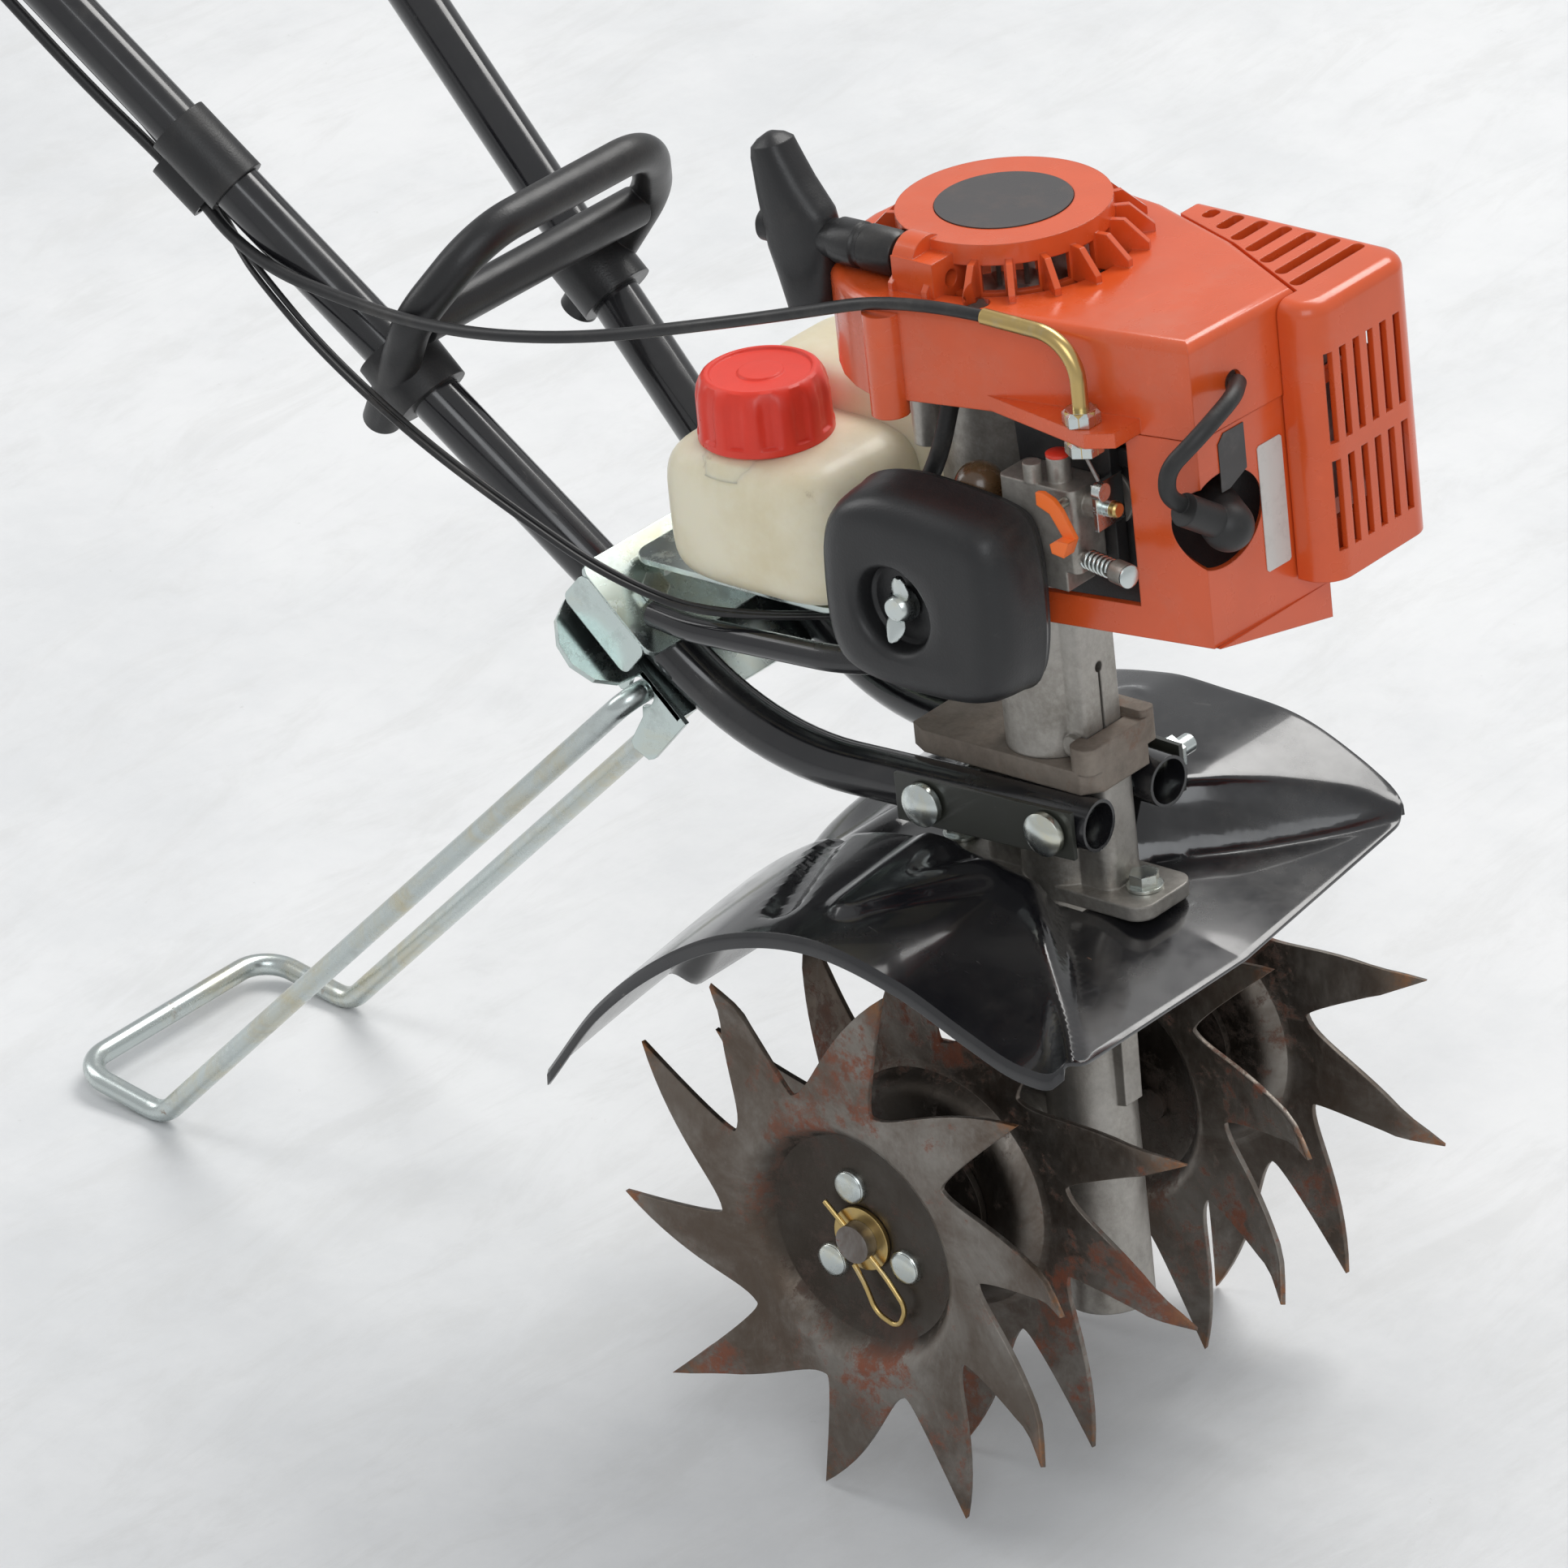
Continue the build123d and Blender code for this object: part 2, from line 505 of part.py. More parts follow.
# ---------------------------------------------------------------- stand
def build_stand():
    x0, z0 = STAND_TOP
    leg = [(x0, STAND_Y - 24, z0), (x0, STAND_Y, z0), (-427.5, STAND_Y, -79.17), (-476.0, STAND_Y, -69.67)]
    wire = [(x, -y, z) for x, y, z in leg] + leg[::-1]
    radii = [8.0, 16.0, 16.0, 16.0, 16.0, 8.0]
    save("kickstand", bent(wire, radii, 4.7))

    # sheet bracket under the tubes; its wings carry the stand rod
    start = Vector(*along_tube(1, -12))
    start.Y = 0
    base = start - SLOPE_N * (TUBE_R + 2.9)
    sheet = extrude(Plane(origin=base, x_dir=SLOPE_X, z_dir=SLOPE_N) * RectangleRounded(66, 150, 8), 2.4)
    pivot = Vector(x0, 0, z0)
    for _, side in SIDES:
        sheet += rod(tuple(pivot + Vector(0, side * 38, 0)), tuple(pivot + Vector(0, side * 48, 0)), 6.6)
        tab_at = base + SLOPE_X * 8 + SLOPE_N * 1.0 + Vector(0, side * 72.6, 0)
        tab_plane = Plane(origin=tab_at, x_dir=SLOPE_X, z_dir=(0, side, 0))
        tab = extrude(tab_plane * RectangleRounded(40, 16, 5), 2.4)
        tab_up = SLOPE_N * -7
        sheet += Pos(*tab_up) * tab
        sheet -= rod(tuple(pivot + Vector(0, side * 30, 0)), tuple(pivot + Vector(0, side * 49, 0)), 4.76)
    save("stand_bracket", sheet)

    # tank bracket across the top of both tubes, with a shelf under the tank
    top_at = Vector(*along_tube(1, 0))
    top_at.Y = 0
    over = top_at + SLOPE_N * (TUBE_R + 0.1)
    plate = extrude(Plane(origin=over, x_dir=SLOPE_X, z_dir=SLOPE_N) * RectangleRounded(46, 124, 6), 2.4)
    for _, side in SIDES:
        flange_at = over + Vector(0, side * 60.5, 0)
        flange_plane = Plane(origin=flange_at, x_dir=SLOPE_X, z_dir=(0, side, 0))
        sign = 1 if flange_plane.to_local_coords(flange_at + SLOPE_N).Y > 0 else -1
        plate += extrude(flange_plane * Pos(0, -sign * 7) * RectangleRounded(40, 18, 4), 2.0)
    shelf = block((-138, -30), (-42, 42), (237.3, 239.7), 10)
    post = block((-138, -131), (-30, 30), (222, 239.0))
    save("tank_bracket", plate + shelf + post)

    # U strut below the tank, flattened ends bolted to the tubes
    half = [(-118.4, 52, 222.8), (-98, 54, 222.0), (-22, 52, 225), (4, 40, 226)]
    strut = [(x, -y, z) for x, y, z in half] + half[::-1]
    save("tank_guard", bent(strut, arc_radii(strut, 0.4), 5.4))


# ---------------------------------------------------------------- fuel system
def build_fuel():
    near = block((-110, -20), (-56, 20), (240, 300))
    near = fillet(near.edges(), 13)
    far = block((-110, 2), (6, 62), (240, 318))
    far = fillet(far.edges(), 13)
    shell = near + far
    shell += rod((CAP_X, CAP_Y, 290), (CAP_X, CAP_Y, 304), 21.0)
    hollow = fillet(block((-107.4, -22.6), (-53.4, 17.4), (242.6, 297.4)).edges(), 10.5)
    hollow += fillet(block((-107.4, -0.6), (8.6, 59.4), (242.6, 315.4)).edges(), 10.5)
    shell -= hollow
    shell -= rod((CAP_X, CAP_Y, 280), (CAP_X, CAP_Y, 320), 17.0)
    save("fuel_tank", shell)
    cap = ring((CAP_X, CAP_Y, 300.6), (CAP_X, CAP_Y, 327.5), 26.5, 21.3)
    cap += rod((CAP_X, CAP_Y, 322), (CAP_X, CAP_Y, 327.5), 24)
    for number in range(12):
        angle = math.radians(30 * number)
        x = CAP_X + 26.4 * math.cos(angle)
        y = CAP_Y + 26.4 * math.sin(angle)
        cap += rod((x, y, 300.6), (x, y, 323), 2.2)
    save("fuel_cap", cap)
    hose = [(-15.4, -34, 282), (2, -44, 284), (22, -48, 300), (34, -46, 322), (37, -40, 343)]
    save("fuel_hose", cable("fuel_hose", hose, 3.6), rod((-19.9, -34, 282), (-15.6, -34, 282), 6.5))


# ---------------------------------------------------------------- engine
def build_engine():
    case = rod((COLUMN_X, 0, 292.3), (COLUMN_X, 0, 346), 33.0)
    case += block((COLUMN_X - 6, COLUMN_X + 40), (-26, 26), (298, 342), 4)
    for x, y in ((16, -30), (8, 22), (70, -30), (66, 30)):
        case += rod((x, y, 318), (x, y, 346), 6.5)
    case -= rod((COLUMN_X, 0, 290), (COLUMN_X, 0, 340), 23.0)
    case -= rod((COLUMN_X, 0, 290), (COLUMN_X, 0, 350), 8.05)
    save("crankcase", case)

    barrel = rod((COLUMN_X + 41, 0, BORE_Z), (COLUMN_X + 92, 0, BORE_Z), 21.0)
    for number in range(6):
        x = COLUMN_X + 44 + 8.0 * number
        barrel += block((x, x + 2.4), (-31, 31), (286, 350), 0)
    barrel += rod((COLUMN_X + 70, -31, BORE_Z), (COLUMN_X + 70, -37, BORE_Z), 12.0)
    barrel -= rod((COLUMN_X + 40, 0, BORE_Z), (COLUMN_X + 84, 0, BORE_Z), 16.0)
    plug_dir = Vector(0.82, -0.57, 0).normalized()
    root = Vector(COLUMN_X + 88, -8, 316)
    barrel -= rod(tuple(root), tuple(root + plug_dir * 20), 7.05)
    barrel -= rod(tuple(root + plug_dir * 7.8), tuple(root + plug_dir * 30), 11.5)
    save("cylinder", barrel)
    plug = rod(tuple(root), tuple(root + plug_dir * 18), 7.0)
    plug += extrude(Plane(origin=root + plug_dir * 8, z_dir=plug_dir) * RegularPolygon(9.5, 6), 7)
    save("spark_plug", plug)
    boot_start = root + plug_dir * 15.5
    boot_end = root + plug_dir * 44
    boot = rod(tuple(boot_start), tuple(boot_end), 10.0) + Pos(*boot_end) * Sphere(10.0)
    boot += rod(tuple(boot_end), (158.5, -53, 330), 6.5)
    boot -= rod(tuple(root), tuple(root + plug_dir * 19), 9.6)
    lead = [(160.2, -18, 368.0), (168, -30, 369), (168, -50, 362), (158, -60, 349), (155, -58, 336),
            tuple(boot_end + Vector(-1, -2, 3))]
    save("ignition_lead", boot + cable("ignition_lead", lead, 3.4))

    shaft = rod((COLUMN_X, 0, 286.5), (COLUMN_X, 0, 372), 8.0)
    for low in (300, 322):
        shaft += rod((COLUMN_X, 0, low), (COLUMN_X, 0, low + 12), 20.0)
    shaft -= rod((COLUMN_X, 0, 286), (COLUMN_X, 0, 298), 4.0)
    save("crankshaft", shaft)
    wheel = ring((COLUMN_X, 0, 353), (COLUMN_X, 0, 362), 44.0, 8.0)
    for number in range(18):
        angle = 20.0 * number
        blade = Pos(COLUMN_X, 0, 0) * Rot(0, 0, angle) * block((30, 43), (-1, 1), (361.5, 374))
        wheel += blade
    save("flywheel", wheel)
    build_covers()
    build_muffler()
    build_carburettor()
    build_starter()


def shroud_outline(grow):
    """Plan view of the engine cover: round behind, tapering to a straight front."""
    points = []
    radius = 68.0 + grow
    for step in range(15):
        angle = math.radians(104 + 152.0 * step / 14)
        points.append((COLUMN_X + radius * math.cos(angle), radius * math.sin(angle)))
    points += [(67 + grow, -56 - grow), (157 + grow, -41 - grow), (160 + grow, 20 + grow)]
    points += [(x + 0.4 * grow, y + 0.9 * grow) for x, y in (GUARD_SEAM[1], GUARD_SEAM[0])]
    return points


def build_covers():
    shell = slab(shroud_outline(0), Plane((0, 0, SEAM_Z)), TOP_Z - SEAM_Z)
    shell = fillet(shell.edges().group_by(Axis.Z)[-1], 5.0)
    inside = slab(shroud_outline(-SHELL_WALL), Plane((0, 0, SEAM_Z - 12)), TOP_Z - SEAM_Z + 12 - SHELL_WALL)
    shell -= inside
    shell -= rod((COLUMN_X, 0, 380), (COLUMN_X, 0, 400), 49.0)
    rim = rod((COLUMN_X, 0, 403.5), (COLUMN_X, 0, 410), 41.6)
    rim -= rod((COLUMN_X, 0, 409), (COLUMN_X, 0, 411), 26.8)
    hub = ring((COLUMN_X, 0, 388), (COLUMN_X, 0, 404), 41.6, 39.0)
    for number in range(20):
        if number in (12, 13):
            continue                # the pull grip sits here
        angle = 18.0 * number + 5
        rib = block((38.5, 56), (-1.3, 1.3), (389.5, 404))
        rib = chamfer(rib.edges().filter_by(Axis.Y).group_by(Axis.Z)[-1].sort_by(Axis.X)[-1], 9.0)
        rib = Pos(COLUMN_X, 0, 0) * Rot(0, 0, angle) * rib
        rim += rib
    for number in range(20):
        angle = math.radians(18.0 * number + 14)
        at = (COLUMN_X + 40 * math.cos(angle), 40 * math.sin(angle))
        hub -= Pos(at[0], at[1], 396) * Rot(0, 0, math.degrees(angle)) * Box(8, 8.5, 11)
    shell = shell + rim + hub
    guide = rod((26, ROPE_Y, ROPE_Z), (COLUMN_X - 2, ROPE_Y, ROPE_Z), 10.5)
    shell += guide + block((26, 46), (-53.5, -32), (389, 406))
    shell -= rod((23.6, ROPE_Y, ROPE_Z), (-60, ROPE_Y, ROPE_Z), 9.6)
    shell -= rod((COLUMN_X + 12, ROPE_Y, ROPE_Z - 5.65), (14, ROPE_Y, ROPE_Z + 2.0), 3.4)
    shell += rod((28, -64, 346), (28, -64, 388), 7.5)
    arm = slab([(66, -55), (124, -66), (134, -60), (134, -44), (70, -50)], Plane((0, 0, 352.5)), 6.0)
    shell += arm
    shell -= inside & block((-60, 200), (-90, 90), (340, 387))
    shell -= rod((ELBOW_X, ELBOW_Y, 350), (ELBOW_X, ELBOW_Y, 362), 3.3)
    shell -= rod((60, -46, 380), (64, -50, 400), 5.0)
    shell -= rod((150, -18, 368), (165, -18, 368), 4.6)
    save("engine_shroud", shell)
    save("badge", rod((COLUMN_X, 0, 409.1), (COLUMN_X, 0, 410.4), 26.5))

    low = 267.0
    outline = [(84, -52.9), (157, -41), (159, 27), (159, 61.5), (60, 61.5), (60, 59), (156.3, 59),
               (156.3, 27), (154.6, -38.2), (84, -49.9)]
    cover = slab(outline, Plane((0, 0, low)), SEAM_Z - 0.4 - low)
    plug_dir = Vector(0.82, -0.57, 0).normalized()
    root = Vector(COLUMN_X + 88, -8, 316)
    cover -= rod(tuple(root + plug_dir * 15), tuple(root + plug_dir * 60), 19.0)
    front = Plane(origin=(157, 0, 0), x_dir=Y_AXIS, z_dir=X_AXIS)
    wedge = slab([(-40, low), (27, low), (27, low - 15)], front, 2.0)
    cover += wedge
    cover -= block((140, 180), (34, 58), (290, 346))
    cover -= block((80, 127), (-60, -30), (280, 360), 3)
    save("side_cover", cover)


def build_muffler():
    body = block((104, 150), (38.5, 58), (292, 348), 6)
    body += rod((126, 32.2, 318), (126, 40, 318), 9.0)
    save("muffler", body)
    front, far, low, top = 176, 72, 276, 390
    guard = block((50, front), (8, far), (low, top), 12)
    guard = fillet(guard.edges().group_by(Axis.Z)[-1], 6)
    guard -= block((50, front - SHELL_WALL), (8 + SHELL_WALL, far - SHELL_WALL), (low + 2, top - 4), 9.4)
    guard -= block((40, 76), (0, 90), (270, 400))
    guard -= block((40, 159.4), (0, 62.3), (270, SEAM_Z + 0.4))
    guard -= slab(shroud_outline(0.5), Plane((0, 0, SEAM_Z)), 60)
    for number in range(7):
        x = 84 + 11.5 * number
        seam_y = 52.3 - 0.5 * (x - 84)
        guard -= block((x, x + 5.5), (seam_y + 6, far - 6), (top - 8, top + 2), 2.5)
    for z in (288, 332):
        for number in range(6):
            y = 15 + 8.2 * number
            guard -= block((front - 8, front + 2), (y, y + 4), (z, z + 37))
        for number in range(6):
            x = 92 + 11 * number
            guard -= block((x, x + 5), (far - 5, far + 2), (z, z + 37))
    save("muffler_guard", guard)


def build_carburettor():
    heat = side_slab([(74, 296), (116, 290), (116, 346), (70, 350)], -43.2, -37.2)
    save("intake_insulator", heat - rod((COLUMN_X + 70, -30, BORE_Z), (COLUMN_X + 70, -60, BORE_Z), 6.0))
    body = block((76, 112), (-62, -43.4), (296, 330), 3)
    body += block((84, 106), (-62, -46), (288, 297))
    pump = block((52, 82), (-60, -46), (304, 312), 2) - rod((56, -50, 308.6), (56, -50, 313), 10.9)
    barrel = rod((112, -52, 322), (118, -52, 322), 5.0)
    body = body + pump + barrel
    cap = rod((100, -54, 330), (100, -54, 340), 4.6)
    screw = rod((92, -60, 330), (92, -60, 338), 3.6)
    idle = rod((112, -58, 302), (132, -62, 302), 2.6) + rod((130, -61.6, 302), (137, -63, 302), 4.6)
    save("carburettor", body, cap, screw, idle)
    bulb = rod((56, -50, 312.2), (56, -50, 316), 10.4)
    bulb += Pos(56, -50, 316) * Sphere(9.8) & block((40, 72), (-66, -34), (316, 330))
    save("purge_bulb", bulb)
    arm = block((118.2, 120.2), (-58, -42), (314, 333), 0) + rod((120.2, -57, 331), (124, -57, 331), 3.6)
    arm += rod((118.1, -52, 322), (123, -52, 322), 3.4)
    save("throttle_arm", arm)

    base = side_slab(filter_outline(-3), -66, -62.3)
    base -= rod((KNOB_X, -60, KNOB_Z), (KNOB_X, -68, KNOB_Z), 3.05)
    save("filter_base", base)
    cover = side_slab(filter_outline(0), FILTER_Y - 6, -66.3)
    cover = fillet(cover.faces().sort_by(Axis.Y)[0].edges(), 8.0)
    cover -= side_slab(filter_outline(-2.4), FILTER_Y - 2, -66)
    cover -= rod((KNOB_X, FILTER_Y - 8, KNOB_Z), (KNOB_X, FILTER_Y + 4, KNOB_Z), 16.5)
    cover += ring((KNOB_X, FILTER_Y - 4, KNOB_Z), (KNOB_X, FILTER_Y + 6.4, KNOB_Z), 18.9, 16.5)
    cover += ring((KNOB_X, FILTER_Y + 4, KNOB_Z), (KNOB_X, FILTER_Y + 6.4, KNOB_Z), 18, 3.2)
    save("filter_cover", cover)
    element = side_slab([(12, 262), (24, 262), (24, 318), (12, 318)], -84, -66.4)
    element += side_slab([(70, 262), (88, 262), (88, 314), (70, 314)], -84, -66.4)
    element += side_slab([(24, 304), (70, 304), (70, 314), (24, 318)], -84, -66.4)
    element += side_slab([(24, 256), (70, 256), (70, 258.5), (24, 258.5)], -80, -66.4)
    stud = rod((KNOB_X, -62.5, KNOB_Z), (KNOB_X, FILTER_Y - 3.5, KNOB_Z), 3.0)
    save("filter_element", element, stud)
    nut = ring((KNOB_X, FILTER_Y + 3.8, KNOB_Z), (KNOB_X, FILTER_Y - 4.5, KNOB_Z), 6.0, 3.03)
    outline = [(-14, 5), (-11, 8.5), (0, 3), (11, 8.5), (14, 5), (3, -3), (-3, -3)]
    wing = Pos(KNOB_X, 0, KNOB_Z) * side_slab(outline, FILTER_Y - 3.5, FILTER_Y - 1)
    wing -= rod((KNOB_X, FILTER_Y + 9, KNOB_Z), (KNOB_X, FILTER_Y - 9, KNOB_Z), 3.03)
    save("wing_nut", nut + wing)
    outline = [(105, 330), (112, 335), (130, 328), (127, 318), (119, 321.5), (112, 322), (106, 322)]
    choke = side_slab(outline, -70.5, -67.3)
    choke += rod((109, -62.4, 326), (109, -71.5, 326), 2.0)
    save("choke_lever", choke)

    elbow = [(ELBOW_X, ELBOW_Y, 346), (ELBOW_X, ELBOW_Y, 392), (76, ELBOW_Y - 3, 394.5)]
    pipe = bent(elbow, [18.0], 3.2)
    nuts = []
    for z in (346.6, 358.7):
        nuts.append(extrude(Plane((ELBOW_X, ELBOW_Y, z)) * RegularPolygon(6.6, 6), 5.6)
                    - rod((ELBOW_X, ELBOW_Y, 340), (ELBOW_X, ELBOW_Y, 380), 3.25))
    save("cable_elbow", pipe, *nuts)
    save("throttle_inner_wire", rod((ELBOW_X, ELBOW_Y, 345.2), (121.6, -57.2, 335.3), 0.8))


def filter_outline(grow):
    """Rounded-square outline of the air filter cover, in (x, z)."""
    corners = [(3, 262), (9, 326), (88, 323), (98, 312), (98, 264), (88, 241), (17, 242)]
    centre = (52, 284)
    points = []
    for x, z in corners:
        away = Vector(x - centre[0], z - centre[1], 0)
        away = away * ((away.length + grow) / away.length)
        points.append((centre[0] + away.X, centre[1] + away.Y))
    smooth = []
    count = len(points)
    for number in range(count):
        here = Vector(*points[number])
        before = Vector(*points[number - 1])
        after = Vector(*points[(number + 1) % count])
        for share in (0.3, 0.12):
            smooth.append(tuple(here + (before - here) * share)[:2])
        for share in (0.12, 0.3):
            smooth.append(tuple(here + (after - here) * share)[:2])
    return smooth


def build_starter():
    """Pull grip and rope; the rope runs back from the guide on the starter cover."""
    pull = Vector(-math.cos(math.radians(12)), 0, math.sin(math.radians(12)))
    guide_end = Vector(23.4, ROPE_Y, ROPE_Z)
    neck = rod((22.9, ROPE_Y, ROPE_Z), (-24, ROPE_Y, ROPE_Z), 8.0)
    neck += rod((22.9, ROPE_Y, ROPE_Z), (16, ROPE_Y, ROPE_Z), 9.0)
    bar_at = Vector(-30, ROPE_Y - 8, ROPE_Z + 1)
    bar_plane = Plane(origin=bar_at, x_dir=Vector(-0.2, 0, 1).normalized(), z_dir=Y_AXIS)
    outline = [(-37, 1), (-30, 4), (-10, 3), (-8, 14), (8, 14), (10, 3), (32, -6), (38, -7), (36, -16),
               (10, -11), (-10, -11), (-34, -9)]
    bar = extrude(bar_plane * Polygon(*outline, align=None), 16, dir=Y_AXIS)
    grip = neck + bar - rod(tuple(guide_end - pull * 2), tuple(guide_end + pull * 25), 2.2)
    save("starter_grip", grip)
    rope = rod(tuple(guide_end - pull * 17), tuple(guide_end + pull * 24.5), 1.8)
    save("starter_rope", rope)
    print("pull", place_vector(pull))


# ---------------------------------------------------------------- control cables
def build_cables():
    ends = upper_points(-1)
    along = (Vector(*ends[3]) - Vector(*ends[2])).normalized()
    below = Vector(along.Z, 0, -along.X).normalized() * -1
    mouth = Vector(*ends[3]) - along * (117.5 + 13.4)
    run = [(75.5, ELBOW_Y - 3.1, 394.6), (40, -67, 397), (-14, -70, 380), (-60, -71, 366), (-112, -76, 352),
           (-160, -82, 345), (-205, -80, 341), (-245, -77, 342), (-275, -78.5, 347), (-302, -74.5, 355)]
    run += tube_run(-2.3, 0.0, -18.6, -3.0)
    run += [(-680.0, -130.0, 710.0), (-728.0, -164.0, 757.0), (-757.0, -186.0, 784.0),
            tuple(mouth + below * 22)]
    save("throttle_cable", cable("throttle_cable", run, 2.5))
    wires = []
    for gap in (0.0, 3.2):
        wire = [(-30, -22 - gap, 231.5), (-76, -57 - gap, 232), (-122, -67 - gap, 244),
                (-162, -74 - gap, 266), (-205, -81 - gap, 292), (-250, -82 - gap, 320),
                (-289 - 0.3 * gap, -74.5 - 0.5 * gap, 344 - 0.8 * gap), (-306 - 0.4 * gap, -67, 350 - 0.9 * gap)]
        wire += tube_run(3.0, 1.6 - gap, -16.9, 4.0 + gap)
        wire += [(-678.0, -121.5 + gap, 712.0), (-728.8 - 0.3 * gap, -158.8 + 0.9 * gap, 760.0 + 0.3 * gap),
                 (-758.3 - 0.3 * gap, -180.5 + 0.9 * gap, 787.6 + 0.3 * gap),
                 tuple(mouth - along * 0.7 + below * 20 + Vector(0, 4.2 + gap * 0.9, 0))]
        wires.append(cable("ignition_wires", wire, 1.25))
    save("ignition_wires", *wires)


def tube_run(clip_y, clip_n, lift, y_shift):
    """Cable points from the clip up along the underside of the right tube."""
    points = []
    for distance in (-10.0, 16.0):
        spot = Vector(*along_tube(-1, CLIP_AT + distance)) + SLOPE_N * (clip_n - 17.5)
        points.append((spot.X, spot.Y + clip_y, spot.Z))
    for number, distance in enumerate((58.0, 120.0, 180.0, 240.0, 300.0, 360.0, 420.0)):
        wobble = 0.8 if number % 2 else -0.8
        spot = Vector(*along_tube(-1, CLIP_AT + distance)) + SLOPE_N * lift
        points.append((spot.X, spot.Y + y_shift + wobble, spot.Z))
    return points


build_tines()
build_gearcase()
build_column()
build_clamp()
build_fender()
build_handlebar()
build_throttle_control()
build_stand()
build_fuel()
build_engine()
build_cables()
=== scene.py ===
import json
import math
import random

import bpy
from mathutils import Matrix, Vector


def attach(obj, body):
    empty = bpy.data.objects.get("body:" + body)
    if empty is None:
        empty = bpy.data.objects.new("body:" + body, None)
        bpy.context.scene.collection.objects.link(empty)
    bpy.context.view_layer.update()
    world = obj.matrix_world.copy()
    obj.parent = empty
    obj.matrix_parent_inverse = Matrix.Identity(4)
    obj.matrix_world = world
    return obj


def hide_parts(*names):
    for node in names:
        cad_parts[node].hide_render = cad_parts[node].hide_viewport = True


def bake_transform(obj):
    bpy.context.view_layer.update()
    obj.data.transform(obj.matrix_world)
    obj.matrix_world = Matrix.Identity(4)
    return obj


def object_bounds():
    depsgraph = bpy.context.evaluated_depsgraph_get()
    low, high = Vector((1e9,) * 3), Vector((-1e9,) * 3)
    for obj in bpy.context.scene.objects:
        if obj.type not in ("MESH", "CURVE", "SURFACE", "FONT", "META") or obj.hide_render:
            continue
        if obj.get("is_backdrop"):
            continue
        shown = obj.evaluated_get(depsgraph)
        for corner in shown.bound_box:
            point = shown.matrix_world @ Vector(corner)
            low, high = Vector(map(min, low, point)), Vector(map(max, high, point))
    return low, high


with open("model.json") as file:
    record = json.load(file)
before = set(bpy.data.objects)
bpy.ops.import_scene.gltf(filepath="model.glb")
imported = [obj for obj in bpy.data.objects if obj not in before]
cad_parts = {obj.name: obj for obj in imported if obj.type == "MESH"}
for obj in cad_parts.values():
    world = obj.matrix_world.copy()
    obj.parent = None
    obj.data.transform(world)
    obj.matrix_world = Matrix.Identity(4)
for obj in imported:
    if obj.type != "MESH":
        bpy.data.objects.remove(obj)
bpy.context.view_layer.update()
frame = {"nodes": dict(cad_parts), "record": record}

# -------- where things are
PITCH = math.radians(4.85)         # the machine leans back on its stand
AXLE = Vector((0.41449, 0.0, 0.11897))
RISE = math.radians(43.8)          # slope of the handlebar in the upright machine frame
SPLAY = math.radians(6.7)
CLIP_AT = 246.0                    # cable clip, measured up a lower tube
SLOPE_N = Vector((math.sin(RISE), 0.0, math.cos(RISE)))
SLOPE_X = Vector((-math.cos(RISE), 0.0, math.sin(RISE)))
STAND_HINGE = Vector((-132.6, 0.0, 184.2))
CAP_X, CAP_Y = -72.0, -26.0        # fuel cap
ROPE_Y, ROPE_Z = -43.0, 401.5      # starter rope guide
CHOKE_HINGE = Vector((109.0, -62.4, 326.0))
PLUG_ROOT = Vector((126.0, -8.0, 316.0))
PLUG_OUT = Vector((0.82, -0.57, 0.0)).normalized()
UP = (0.0, 0.0, 1.0)


def place(x, y, z):
    """Row-frame point in metres from an upright machine-frame point in millimetres."""
    ahead = x * math.cos(PITCH) - z * math.sin(PITCH)
    above = x * math.sin(PITCH) + z * math.cos(PITCH)
    return AXLE + Vector((ahead, y, above)) * 0.001


def along_tube(side, distance):
    """Machine-frame point on a handlebar centreline, measured up from the tank bracket."""
    level = math.cos(SPLAY)
    step = Vector((-math.cos(RISE) * level, side * math.sin(SPLAY), math.sin(RISE) * level))
    return Vector((-138.4, side * 40.6, 216.1)) + step * distance


